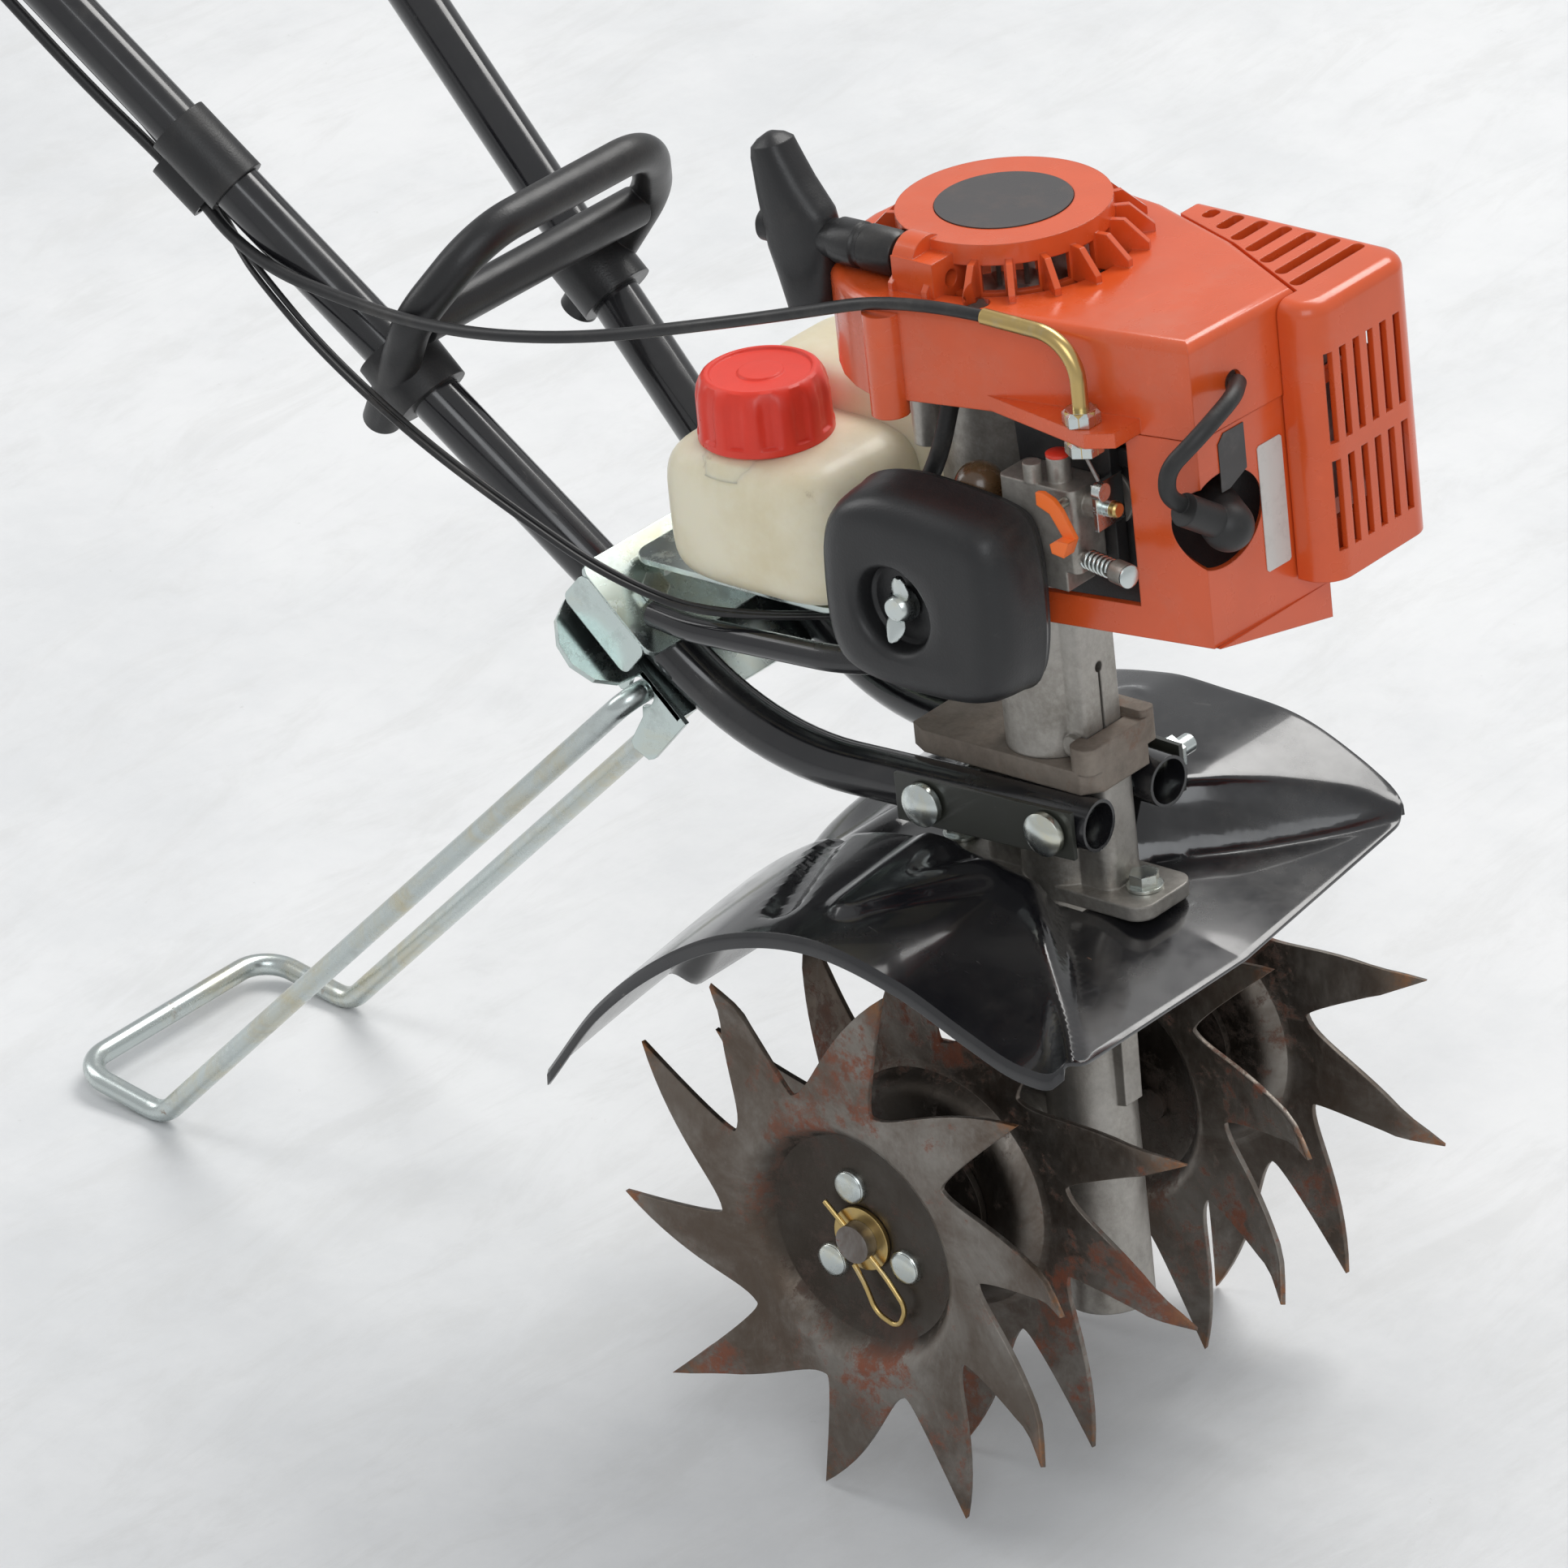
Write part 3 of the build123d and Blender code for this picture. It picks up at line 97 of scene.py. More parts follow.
# -------- shader helper
class Paint:
    """A material under construction: adds shader nodes and links them."""

    def __init__(self, name):
        self.material = bpy.data.materials.new(name)
        self.material.use_nodes = True
        self.tree = self.material.node_tree
        self.tree.nodes.clear()
        self.place = self.add("ShaderNodeTexCoord").outputs["Object"]
        self.shader = self.add("ShaderNodeBsdfPrincipled")
        output = self.add("ShaderNodeOutputMaterial")
        self.link(self.shader.outputs[0], output.inputs["Surface"])
        self.normal = None

    def add(self, kind, inputs=None, **settings):
        """A new node; settings are its own properties, inputs the plain values of its sockets."""
        node = self.tree.nodes.new(kind)
        for key, value in settings.items():
            setattr(node, key, value)
        for socket, value in (inputs or {}).items():
            node.inputs[socket].default_value = value
        return node

    def link(self, source, target):
        self.tree.links.new(source, target)

    def put(self, target, value):
        """Link an output or set a plain value on an input."""
        if isinstance(value, bpy.types.NodeSocket):
            self.link(value, target)
        else:
            target.default_value = value

    def stretched(self, factors):
        """Object coordinates scaled unevenly, for grain and streaks."""
        node = self.add("ShaderNodeMapping", {"Scale": factors})
        self.link(self.place, node.inputs["Vector"])
        return node.outputs[0]

    def noise(self, scale, detail=5.0, rough=0.6, factors=None, twist=0.0):
        node = self.add("ShaderNodeTexNoise", {"Scale": scale, "Detail": detail, "Roughness": rough,
                                               "Distortion": twist})
        self.link(self.stretched(factors) if factors else self.place, node.inputs["Vector"])
        return node.outputs["Fac"]

    def cells(self, scale):
        node = self.add("ShaderNodeTexVoronoi", {"Scale": scale})
        self.link(self.place, node.inputs["Vector"])
        return node.outputs["Distance"]

    def span(self, value, low, high, start=0.0, end=1.0):
        """Remap low..high to start..end, clamped and smooth."""
        limits = {"From Min": low, "From Max": high, "To Min": start, "To Max": end}
        node = self.add("ShaderNodeMapRange", limits, interpolation_type="SMOOTHSTEP")
        self.put(node.inputs["Value"], value)
        return node.outputs[0]

    def math(self, operation, a, b=0.0):
        node = self.add("ShaderNodeMath", operation=operation)
        self.put(node.inputs[0], a)
        self.put(node.inputs[1], b)
        return node.outputs[0]

    def total(self, a, b):
        return self.math("ADD", a, b)

    def less(self, a, b):
        return self.math("SUBTRACT", a, b)

    def product(self, a, b):
        return self.math("MULTIPLY", a, b)

    def mix(self, factor, a, b):
        node = self.add("ShaderNodeMix", data_type="RGBA")
        self.put(node.inputs["Factor"], factor)
        for socket, value in ((node.inputs[6], a), (node.inputs[7], b)):
            self.put(socket, (*value, 1.0) if isinstance(value, tuple) else value)
        return node.outputs[2]

    def from_axle(self):
        """Distance from the tine axle, in metres."""
        split = self.add("ShaderNodeSeparateXYZ")
        self.link(self.place, split.inputs[0])
        ahead = self.less(split.outputs["X"], AXLE.x)
        above = self.less(split.outputs["Z"], AXLE.z)
        return self.math("SQRT", self.total(self.product(ahead, ahead), self.product(above, above)))

    def bump(self, height, strength, distance=0.0004):
        node = self.add("ShaderNodeBump", {"Strength": strength, "Distance": distance})
        self.put(node.inputs["Height"], height)
        if self.normal is not None:
            self.link(self.normal, node.inputs["Normal"])
        self.normal = node.outputs[0]

    def rounded(self, radius):
        """Soften sharp edges in the shading, as a casting or moulding has them."""
        node = self.add("ShaderNodeBevel", {"Radius": radius}, samples=4)
        if self.normal is not None:
            self.link(self.normal, node.inputs["Normal"])
        self.normal = node.outputs[0]

    def finish(self, colour, rough, metal=0.0, **sockets):
        self.put(self.shader.inputs["Base Color"], (*colour, 1.0) if isinstance(colour, tuple) else colour)
        self.put(self.shader.inputs["Roughness"], rough)
        self.put(self.shader.inputs["Metallic"], metal)
        for name, value in sockets.items():
            self.put(self.shader.inputs[name.replace("_", " ")], value)
        if self.normal is not None:
            self.link(self.normal, self.shader.inputs["Normal"])
        return self.material


# -------- materials
def moulded(name, colour, rough, grain, grain_size, dusty=0.25, coat=0.0, edge=0.0008, **sockets):
    """Injection-moulded plastic: fine grain, scuffs, a little dust."""
    paint = Paint(name)
    paint.rounded(edge)
    blotch = paint.noise(28.0, 6.0, 0.65)
    shade = paint.mix(paint.span(blotch, 0.3, 0.75, 0.0, 0.35), colour, tuple(c * 0.72 for c in colour))
    scuff = paint.span(paint.noise(160.0, 8.0, 0.7, (1.0, 0.16, 0.7), 0.4), 0.6, 0.78)
    pale = tuple(min(1.0, c * 1.6 + 0.04) for c in colour)
    shade = paint.mix(paint.product(scuff, 0.22), shade, pale)
    film = paint.span(paint.noise(11.0, 7.0, 0.75), 0.5, 0.78, 0.0, dusty)
    shade = paint.mix(film, shade, (0.42, 0.38, 0.32))
    paint.bump(paint.noise(grain_size, 3.0, 0.5), grain, 0.00015)
    paint.bump(paint.noise(46.0, 2.0, 0.4), 0.06, 0.0006)
    wet = paint.span(paint.noise(19.0, 5.0, 0.6), 0.3, 0.72, rough - 0.07, rough + 0.14)
    gloss = paint.total(wet, paint.product(film, 0.5))
    return paint.finish(shade, gloss, Coat_Weight=coat, Coat_Roughness=0.12, **sockets)


def black_enamel(name, rough=0.15, chips=0.5, low=(0.008, 0.008, 0.010)):
    """Baked black paint with scratches, grey dust and rusty chips."""
    paint = Paint(name)
    paint.rounded(0.0006)
    base = paint.mix(paint.span(paint.noise(14.0, 6.0, 0.7), 0.4, 0.75, 0.0, 0.4), low, (0.03, 0.029, 0.028))
    scratch = paint.span(paint.noise(240.0, 6.0, 0.7, (0.25, 1.0, 0.25), 0.8), 0.66, 0.74)
    base = paint.mix(paint.product(scratch, 0.35), base, (0.22, 0.21, 0.2))
    chip_noise = paint.noise(75.0, 9.0, 0.72)
    chip = paint.product(paint.span(chip_noise, 0.70, 0.73), chips)
    base = paint.mix(chip, base, paint.mix(paint.noise(300.0), (0.20, 0.07, 0.025), (0.34, 0.16, 0.07)))
    film = paint.span(paint.noise(9.0, 8.0, 0.75), 0.52, 0.82, 0.0, 0.13)
    base = paint.mix(film, base, (0.34, 0.31, 0.27))
    paint.bump(paint.noise(420.0, 2.0, 0.5), 0.05, 0.0001)
    paint.bump(chip, -0.5, 0.0003)
    gloss = paint.span(paint.noise(24.0, 6.0, 0.65), 0.3, 0.7, rough - 0.06, rough + 0.16)
    gloss = paint.total(gloss, paint.product(paint.total(chip, film), 0.5))
    return paint.finish(base, gloss, Coat_Weight=0.5, Coat_Roughness=0.06)


def rusty_steel(name, base=(0.20, 0.18, 0.16), rust=0.5, soil=0.35, disc=False):
    """Bare pressed steel: grey, heat-brown and red rust in patches, soil in patches, and on a disc painted
    shade in the dished hub.
    """
    paint = Paint(name)
    paint.rounded(0.0005)
    blotch = paint.span(paint.noise(18.0, 6.0, 0.7, twist=0.5), 0.35, 0.68)
    tone = paint.mix(blotch, base, (0.125, 0.095, 0.075))
    brushed = paint.noise(330.0, 6.0, 0.7, (1.0, 0.12, 0.4))
    tone = paint.mix(paint.span(brushed, 0.5, 0.8, 0.0, 0.4), tone, (0.40, 0.38, 0.35))
    spread = paint.noise(16.0, 9.0, 0.74, twist=0.3)
    speck = paint.noise(150.0, 8.0, 0.75)
    mottle = paint.total(spread, paint.product(speck, 0.45))
    patch = paint.span(mottle, 0.80 - 0.14 * rust, 0.90 - 0.1 * rust)
    red = paint.mix(paint.noise(210.0, 7.0), (0.14, 0.038, 0.020), (0.30, 0.105, 0.055))
    tone = paint.mix(patch, tone, red)
    crust = paint.span(paint.noise(9.0, 9.0, 0.78, twist=0.8), 0.58, 0.68, 0.0, soil)
    tone = paint.mix(crust, tone, (0.10, 0.062, 0.038))
    pale = paint.span(paint.noise(520.0, 4.0, 0.8), 0.66, 0.7, 0.0, 0.5)
    tone = paint.mix(paint.product(pale, patch), tone, (0.6, 0.55, 0.5))
    if disc:
        reach = paint.from_axle()
        heat = paint.span(paint.noise(12.0, 6.0, 0.7, twist=0.6), 0.36, 0.62, 0.0, 0.7)
        tone = paint.mix(heat, tone, (0.105, 0.078, 0.058))
        # painted shade: the dished hub within about 43 to 52 mm of the axle is darkened almost to black
        tone = paint.mix(paint.span(reach, 0.043, 0.052, 0.82, 0.0), tone, (0.045, 0.037, 0.030))
        worn = paint.span(speck, 0.42, 0.6, 0.0, 0.85)
        tips = paint.product(paint.span(reach, 0.104, 0.120), worn)
        tone = paint.mix(tips, tone, (0.30, 0.13, 0.05))
    paint.bump(speck, 0.18, 0.0004)
    paint.bump(patch, 0.35, 0.0003)
    rough = paint.total(paint.span(brushed, 0.3, 0.7, 0.34, 0.5), paint.product(patch, 0.35))
    covered = paint.total(paint.product(patch, 0.75), paint.product(crust, 0.8))
    metal = paint.less(0.9, covered)
    return paint.finish(tone, rough, metal)


def plated(name, base=(0.62, 0.67, 0.66), tint=(0.70, 0.66, 0.48), rough=0.24, stain=0.35, spot_size=95.0):
    """Zinc plate: bluish with yellow and dull white areas and a few brown spots."""
    paint = Paint(name)
    paint.rounded(0.0006)
    tone = paint.mix(paint.span(paint.noise(24.0, 6.0, 0.7, twist=0.6), 0.45, 0.75), base, tint)
    dull = paint.span(paint.noise(60.0, 8.0, 0.75), 0.5, 0.72)
    tone = paint.mix(paint.product(dull, 0.4), tone, (0.42, 0.43, 0.41))
    spots = paint.span(paint.noise(spot_size, 9.0, 0.78), 0.62, 0.7, 0.0, stain)
    tone = paint.mix(spots, tone, (0.22, 0.11, 0.05))
    paint.bump(paint.noise(700.0, 3.0, 0.6), 0.08, 0.0001)
    paint.bump(spots, 0.3, 0.0002)
    gloss = paint.total(paint.product(dull, 0.22), paint.total(spots, rough))
    return paint.finish(tone, gloss, paint.less(1.0, paint.product(spots, 1.6)))


def cast(name, base, dark, rough=0.5, metal=0.75, grit=0.5, rust=0.0, size=330.0):
    """Sand or die casting: granular skin, oily darker areas, optional rust bloom."""
    paint = Paint(name)
    paint.rounded(0.0012)
    tone = paint.mix(paint.span(paint.noise(22.0, 7.0, 0.7, twist=0.4), 0.35, 0.7), base, dark)
    glints = paint.span(paint.noise(size, 6.0, 0.7), 0.3, 0.8, 0.0, 0.45)
    tone = paint.mix(glints, tone, tuple(c * 1.35 for c in base))
    bloom = paint.span(paint.noise(48.0, 9.0, 0.76), 0.62 - 0.2 * rust, 0.76 - 0.18 * rust,
                       0.0, min(1.0, rust * 1.6))
    tone = paint.mix(bloom, tone, paint.mix(paint.noise(260.0), (0.16, 0.06, 0.03), (0.27, 0.13, 0.07)))
    grime = paint.span(paint.noise(13.0, 8.0, 0.75), 0.52, 0.72, 0.0, 0.5)
    tone = paint.mix(grime, tone, (0.06, 0.05, 0.04))
    paint.bump(paint.noise(size, 5.0, 0.65), grit, 0.00035)
    skin = paint.span(paint.noise(30.0, 6.0), 0.3, 0.7, rough - 0.1, rough + 0.12)
    gloss = paint.total(skin, paint.product(bloom, 0.3))
    covered = paint.total(paint.product(bloom, 0.8), paint.product(grime, 0.7))
    shine = paint.product(paint.less(1.0, covered), metal)
    return paint.finish(tone, gloss, shine)


def tank_plastic(name):
    """Blow-moulded natural polyethylene: milky, stained, with fuel dirt near the top."""
    paint = Paint(name)
    paint.rounded(0.002)
    cloud = paint.span(paint.noise(17.0, 6.0, 0.65), 0.35, 0.7)
    tone = paint.mix(cloud, (0.82, 0.77, 0.60), (0.72, 0.64, 0.44))
    drip = paint.span(paint.noise(70.0, 7.0, 0.75, (1.0, 1.0, 0.25)), 0.62, 0.74, 0.0, 0.45)
    tone = paint.mix(drip, tone, (0.33, 0.22, 0.11))
    paint.bump(paint.noise(240.0, 4.0, 0.6), 0.1, 0.0003)
    gloss = paint.span(paint.noise(40.0, 5.0), 0.3, 0.7, 0.32, 0.5)
    return paint.finish(tone, gloss, Subsurface_Weight=0.35, Subsurface_Radius=(0.012, 0.009, 0.005),
                        Subsurface_Scale=0.6, Coat_Weight=0.1)


def foam(name):
    """Open-cell filter foam."""
    paint = Paint(name)
    tone = paint.mix(paint.noise(500.0), (0.03, 0.03, 0.03), (0.12, 0.11, 0.10))
    paint.bump(paint.cells(700.0), 0.9, 0.0008)
    return paint.finish(tone, 0.9)


def braided(name, light, dark, size):
    """Braided cord: two crossing sets of strands in relief."""
    paint = Paint(name)
    strands = []
    for lean in (1.0, -1.0):
        wave = paint.add("ShaderNodeTexWave", {"Scale": size, "Distortion": 0.4},
                         bands_direction="DIAGONAL")
        paint.link(paint.stretched((1.0, lean, lean)), wave.inputs["Vector"])
        strands.append(wave.outputs["Fac"])
    weave = paint.product(strands[0], strands[1])
    tone = paint.mix(weave, dark, light)
    paint.bump(weave, 0.6, 0.0004)
    return paint.finish(tone, paint.span(paint.noise(90.0), 0.3, 0.7, 0.65, 0.9), Sheen_Weight=0.3)


def label(name, base, ink):
    """A plain printed sticker with faded patches, without any words."""
    paint = Paint(name)
    tone = paint.mix(paint.span(paint.noise(60.0, 7.0, 0.7), 0.45, 0.75, 0.0, 0.6), base, ink)
    paint.bump(paint.noise(400.0, 3.0), 0.05, 0.0001)
    return paint.finish(tone, paint.span(paint.noise(50.0), 0.3, 0.7, 0.25, 0.45), Coat_Weight=0.3)


# one entry for each material slot of the record, then the finishes that only the looks need
MAKE = {
    "orange_plastic": lambda name: moulded(name, (0.70, 0.096, 0.02), 0.24, 0.1, 900.0,
                                           dusty=0.12, coat=0.35),
    "black_plastic": lambda name: moulded(name, (0.013, 0.013, 0.014), 0.36, 0.5, 1100.0, dusty=0.07),
    "tank_plastic": tank_plastic,
    "red_plastic": lambda name: moulded(name, (0.80, 0.045, 0.022), 0.3, 0.25, 700.0, dusty=0.15,
                                        Subsurface_Weight=0.12, Subsurface_Radius=(0.006, 0.002, 0.001)),
    "bulb": lambda name: moulded(name, (0.16, 0.085, 0.035), 0.2, 0.1, 600.0, dusty=0.1, coat=0.5,
                                 Transmission_Weight=0.35),
    "rubber": lambda name: moulded(name, (0.016, 0.016, 0.016), 0.5, 0.35, 800.0, dusty=0.2),
    "orange_lever": lambda name: moulded(name, (0.95, 0.17, 0.015), 0.35, 0.3, 800.0, dusty=0.08),
    "foam": foam,
    "black_paint": black_enamel,
    "olive_paint": lambda name: black_enamel(name, 0.42, 0.8, (0.022, 0.024, 0.018)),
    "tine_steel": lambda name: rusty_steel(name, (0.27, 0.25, 0.225), 0.55, 0.2, disc=True),
    "zinc": plated,
    "aluminium": lambda name: cast(name, (0.42, 0.40, 0.37), (0.27, 0.25, 0.22), 0.42),
    "cast_iron": lambda name: cast(name, (0.25, 0.215, 0.18), (0.16, 0.125, 0.10), 0.6, 0.4, 0.8, 0.3, 210.0),
    "steel": lambda name: rusty_steel(name, (0.35, 0.34, 0.33), 0.1, 0.1),
    "bronze": lambda name: cast(name, (0.50, 0.30, 0.10), (0.32, 0.17, 0.06), 0.4, 0.9, 0.2),
    "brass": lambda name: plated(name, (0.58, 0.42, 0.17), (0.42, 0.33, 0.16), 0.28, 0.4),
    "rope": lambda name: braided(name, (0.80, 0.78, 0.72), (0.42, 0.40, 0.36), 600.0),
    "badge": lambda name: label(name, (0.045, 0.04, 0.04), (0.09, 0.06, 0.05)),
    "cable": lambda name: moulded(name, (0.014, 0.014, 0.015), 0.36, 0.2, 500.0, dusty=0.15, edge=0.0002),
    "white_label": lambda name: label(name, (0.62, 0.61, 0.58), (0.40, 0.39, 0.37)),
    "dark_label": lambda name: label(name, (0.03, 0.03, 0.03), (0.10, 0.09, 0.085)),
    "stand_zinc": lambda name: plated(name, (0.55, 0.60, 0.59), (0.56, 0.52, 0.38), 0.27, 0.8, 52.0),
    "bracket_zinc": lambda name: plated(name, (0.60, 0.68, 0.66), (0.62, 0.62, 0.50), 0.24, 0.8, 44.0),
}
materials = {slot: make(slot) for slot, make in MAKE.items()}


# -------- geometry helpers
def smooth_by_angle():
    """Modifier tree that joins split vertices and smooths everything but real edges."""
    tree = bpy.data.node_groups.new("smooth_by_angle", "GeometryNodeTree")
    for way in ("INPUT", "OUTPUT"):
        tree.interface.new_socket("Geometry", in_out=way, socket_type="NodeSocketGeometry")
    start = tree.nodes.new("NodeGroupInput")
    end = tree.nodes.new("NodeGroupOutput")
    weld = tree.nodes.new("GeometryNodeMergeByDistance")
    weld.inputs["Distance"].default_value = 0.00001
    faces = tree.nodes.new("GeometryNodeSetShadeSmooth")
    faces.domain = "FACE"
    edges = tree.nodes.new("GeometryNodeSetShadeSmooth")
    edges.domain = "EDGE"
    edges.inputs["Shade Smooth"].default_value = False
    angle = tree.nodes.new("GeometryNodeInputMeshEdgeAngle")
    sharp = tree.nodes.new("FunctionNodeCompare")
    sharp.operation = "GREATER_THAN"
    sharp.inputs[1].default_value = math.radians(32.0)
    tree.links.new(start.outputs[0], weld.inputs[0])
    tree.links.new(weld.outputs[0], faces.inputs["Geometry"])
    tree.links.new(faces.outputs[0], edges.inputs["Geometry"])
    tree.links.new(angle.outputs["Unsigned Angle"], sharp.inputs[0])
    tree.links.new(sharp.outputs[0], edges.inputs["Selection"])
    tree.links.new(edges.outputs[0], end.inputs[0])
    return tree


SMOOTH = smooth_by_angle()


def in_scene(name, data):
    """A new object in the scene around a mesh, curve, light or camera."""
    obj = bpy.data.objects.new(name, data)
    bpy.context.scene.collection.objects.link(obj)
    return obj


def dress(obj, material):
    """Give a piece its material and clean shading."""
    obj.data.materials.clear()
    obj.data.materials.append(materials[material])
    if obj.type == "MESH":
        obj.modifiers.new("smooth", "NODES").node_group = SMOOTH


def add_mesh(name, points, faces, material, body, replaces=None):
    """A new piece from machine-frame points, riding on a CAD body."""
    mesh = bpy.data.meshes.new(name)
    mesh.from_pydata([place(*point) for point in points], [], faces)
    mesh.validate()
    obj = in_scene(name, mesh)
    dress(obj, material)
    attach(obj, body)
    if replaces:
        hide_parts(*replaces)
    return obj


def solidify(obj, thickness, offset, soften):
    """Turn a surface into sheet metal with rounded rims."""
    obj.modifiers.remove(obj.modifiers.get("smooth"))
    sheet = obj.modifiers.new("sheet", "SOLIDIFY")
    sheet.thickness = thickness
    sheet.offset = offset
    bevel = obj.modifiers.new("rim", "BEVEL")
    bevel.width = soften
    bevel.segments = 2
    bevel.angle_limit = math.radians(50.0)
    obj.modifiers.new("smooth", "NODES").node_group = SMOOTH


def across(axis):
    """Two directions square to an axis."""
    axis = Vector(axis).normalized()
    helper = Vector((0, 0, 1)) if abs(axis.z) < 0.9 else Vector((1, 0, 0))
    first = axis.cross(helper).normalized()
    return axis, first, axis.cross(first)


def loft(name, rings, material, body, replaces=None):
    """A skin over closed rings of machine-frame points, all with the same count."""
    count = len(rings[0])
    points = [tuple(point) for ring in rings for point in ring]
    faces = []
    for row in range(len(rings) - 1):
        low, high = row * count, (row + 1) * count
        for column in range(count):
            after = (column + 1) % count
            faces.append((low + column, low + after, high + after, high + column))
    faces.append(tuple(range(count))[::-1])
    faces.append(tuple(len(points) - count + number for number in range(count)))
    return add_mesh(name, points, faces, material, body, replaces)


def lathe(name, origin, axis, profile, material, body, replaces=None, sides=32):
    """A turned piece; profile is (radius, height) pairs. Six sides make a hexagon nut."""
    axis, first, second = across(axis)
    origin = Vector(origin)
    rings = []
    for radius, height in profile:
        ring = []
        for step in range(sides):
            angle = 2.0 * math.pi * step / sides
            spoke = first * math.cos(angle) + second * math.sin(angle)
            ring.append(origin + axis * height + spoke * max(radius, 0.01))
        rings.append(ring)
    return loft(name, rings, material, body, replaces)


def coil(name, start, end, radius, turns, thickness, material, body):
    """A helical spring or thread between two points."""
    axis, first, second = across(Vector(end) - Vector(start))
    length = (Vector(end) - Vector(start)).length
    points = []
    steps = int(turns * 12)
    for step in range(steps + 1):
        angle = 2.0 * math.pi * turns * step / steps
        spoke = first * math.cos(angle) + second * math.sin(angle)
        points.append(tuple(Vector(start) + axis * (length * step / steps) + spoke * radius))
    return add_cable(name, points, thickness, material, body)


def plate(name, origin, right, up, outline, depth, material, body):
    """A thin flat piece; outline is (right, up) pairs, depth goes along right x up."""
    right, up = Vector(right).normalized(), Vector(up).normalized()
    normal = right.cross(up)
    face = [Vector(origin) + right * a + up * b for a, b in outline]
    rings = [[point + normal * level for point in face] for level in (0.0, depth)]
    return loft(name, rings, material, body)


def add_cable(name, points, radius, material, body=None):
    """A cable that runs smoothly through machine-frame route points."""
    curve = bpy.data.curves.new(name, "CURVE")
    curve.dimensions = "3D"
    curve.bevel_depth = radius * 0.001
    curve.bevel_resolution = 5
    curve.resolution_u = 8
    curve.use_fill_caps = True
    spline = curve.splines.new("NURBS")
    spline.points.add(len(points) - 1)
    for knot, point in zip(spline.points, points):
        knot.co = (*place(*point), 1.0)
    spline.order_u = 3
    spline.use_endpoint_u = True
    template = in_scene(name + "_curve", curve)
    bpy.context.view_layer.update()
    mesh = bpy.data.meshes.new_from_object(template.evaluated_get(bpy.context.evaluated_depsgraph_get()))
    bpy.data.objects.remove(template)
    mesh.name = name
    obj = in_scene(name, mesh)
    dress(obj, material)
    if body:
        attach(obj, body)
    return obj


# -------- CAD pieces get their finish
FINISH = {"kickstand": "stand_zinc", "stand_bracket": "bracket_zinc", "tank_bracket": "bracket_zinc"}
for node in frame["record"]["subparts"]:
    dress(frame["nodes"][node["node"]], FINISH.get(node["node"], node["material_slot"]))


# -------- tine discs
DISC_Y = (-107.0, -48.0, 48.0, 107.0)
DISC_PHASE = (4.0, 16.0, 2.0, 20.0)
TEETH = 10
PITCH_ANGLE = 360.0 / TEETH
COLUMNS = 28          # mesh columns across one tooth
DISH_RIM = 53.5       # DISH is (radius, depth) from hub to rim
DISH = ((20.0, 10.0), (34.0, 10.0), (41.5, 9.7), (45.0, 8.6), (48.0, 5.2), (50.5, 1.4), (DISH_RIM, 0.0))


def tooth_rim(part):
    """Rim point of one tooth, part from 0 to 1: (radius in mm, degrees from the tooth's middle)."""
    valley, tip, half, sweep = 65.0, 119.0, 18.0, 15.0
    climb = 1.0 - abs(2.0 * part - 1.0)
    radius = valley + (tip - valley) * (1.5 * climb ** 2 - 0.5 * climb ** 3)
    if part < 0.5:
        return radius, -half + (half - sweep) * (1.0 - (1.0 - climb) ** 3)
    return radius, half - (half + sweep) * climb ** 1.02


def tine_disc(index):
    """Pressed star disc: dished hub, swept teeth, some bent sideways into hooks."""
    y = DISC_Y[index]
    side = 1 if y > 0 else -1
    outer = abs(y) > 80
    inward = -side if outer else side
    outward = side if outer else -side
    bore = 8.05 if outer else 13.05
    dish = ((bore, 10.0),) + DISH
    rows = 16
    points = []
    chance = random.Random(index + 3)
    bends = [(9.5 if number % 3 == 0 else -3.0) * chance.uniform(0.7, 1.15) for number in range(TEETH)]
    for number in range(TEETH):
        middle = DISC_PHASE[index] + 15.0 + PITCH_ANGLE * number
        for column in range(COLUMNS):
            part = column / COLUMNS
            rim, turn = tooth_rim(part)
            angle = math.radians(middle + PITCH_ANGLE * (part - 0.5))
            for radius, depth in dish:
                points.append((radius * math.cos(angle), y + depth * inward, radius * math.sin(angle)))
            low = (DISH_RIM * math.cos(angle), DISH_RIM * math.sin(angle))
            angle = math.radians(middle + turn)
            high = (rim * math.cos(angle), rim * math.sin(angle))
            for row in range(1, rows + 1):
                share = row / rows
                x = low[0] + (high[0] - low[0]) * share
                z = low[1] + (high[1] - low[1]) * share
                out = max(0.0, (math.hypot(x, z) - 66.0) / 53.0)
                bend = bends[number] * out ** 1.3
                if number % 3 == 0:
                    bend += 22.0 * max(0.0, out - 0.74)
                points.append((x, y + bend * outward, z))
    per = len(dish) + rows
    total = TEETH * COLUMNS
    faces = []
    for column in range(total):
        after = (column + 1) % total
        for row in range(per - 1):
            here, there = column * per + row, after * per + row
            faces.append((here, here + 1, there + 1, there))
    name = "tine_disc_%d" % (index + 1)
    disc = add_mesh("visual_" + name, points, faces, "tine_steel", "tines", [name])
    solidify(disc, 0.0024, 0.0, 0.0004)


for disc_index in range(4):
    tine_disc(disc_index)

# bright upset heads of the rivets that hold the discs to their hubs
RIVET_HEAD = ((0.0, 2.9), (3.4, 2.8), (5.8, 2.3), (7.0, 1.3), (7.4, 0.2), (7.4, -1.0))
for side in (-1, 1):
    for number in range(3):
        angle = math.radians(100.0 + 120.0 * number)
        spot = (22.0 * math.cos(angle), side * 99.0, 22.0 * math.sin(angle))
        rivet_name = "visual_rivet_%s_%d" % ("near" if side < 0 else "far", number + 1)
        rivet = lathe(rivet_name, spot, (0, side, 0), RIVET_HEAD, "zinc", "tines")


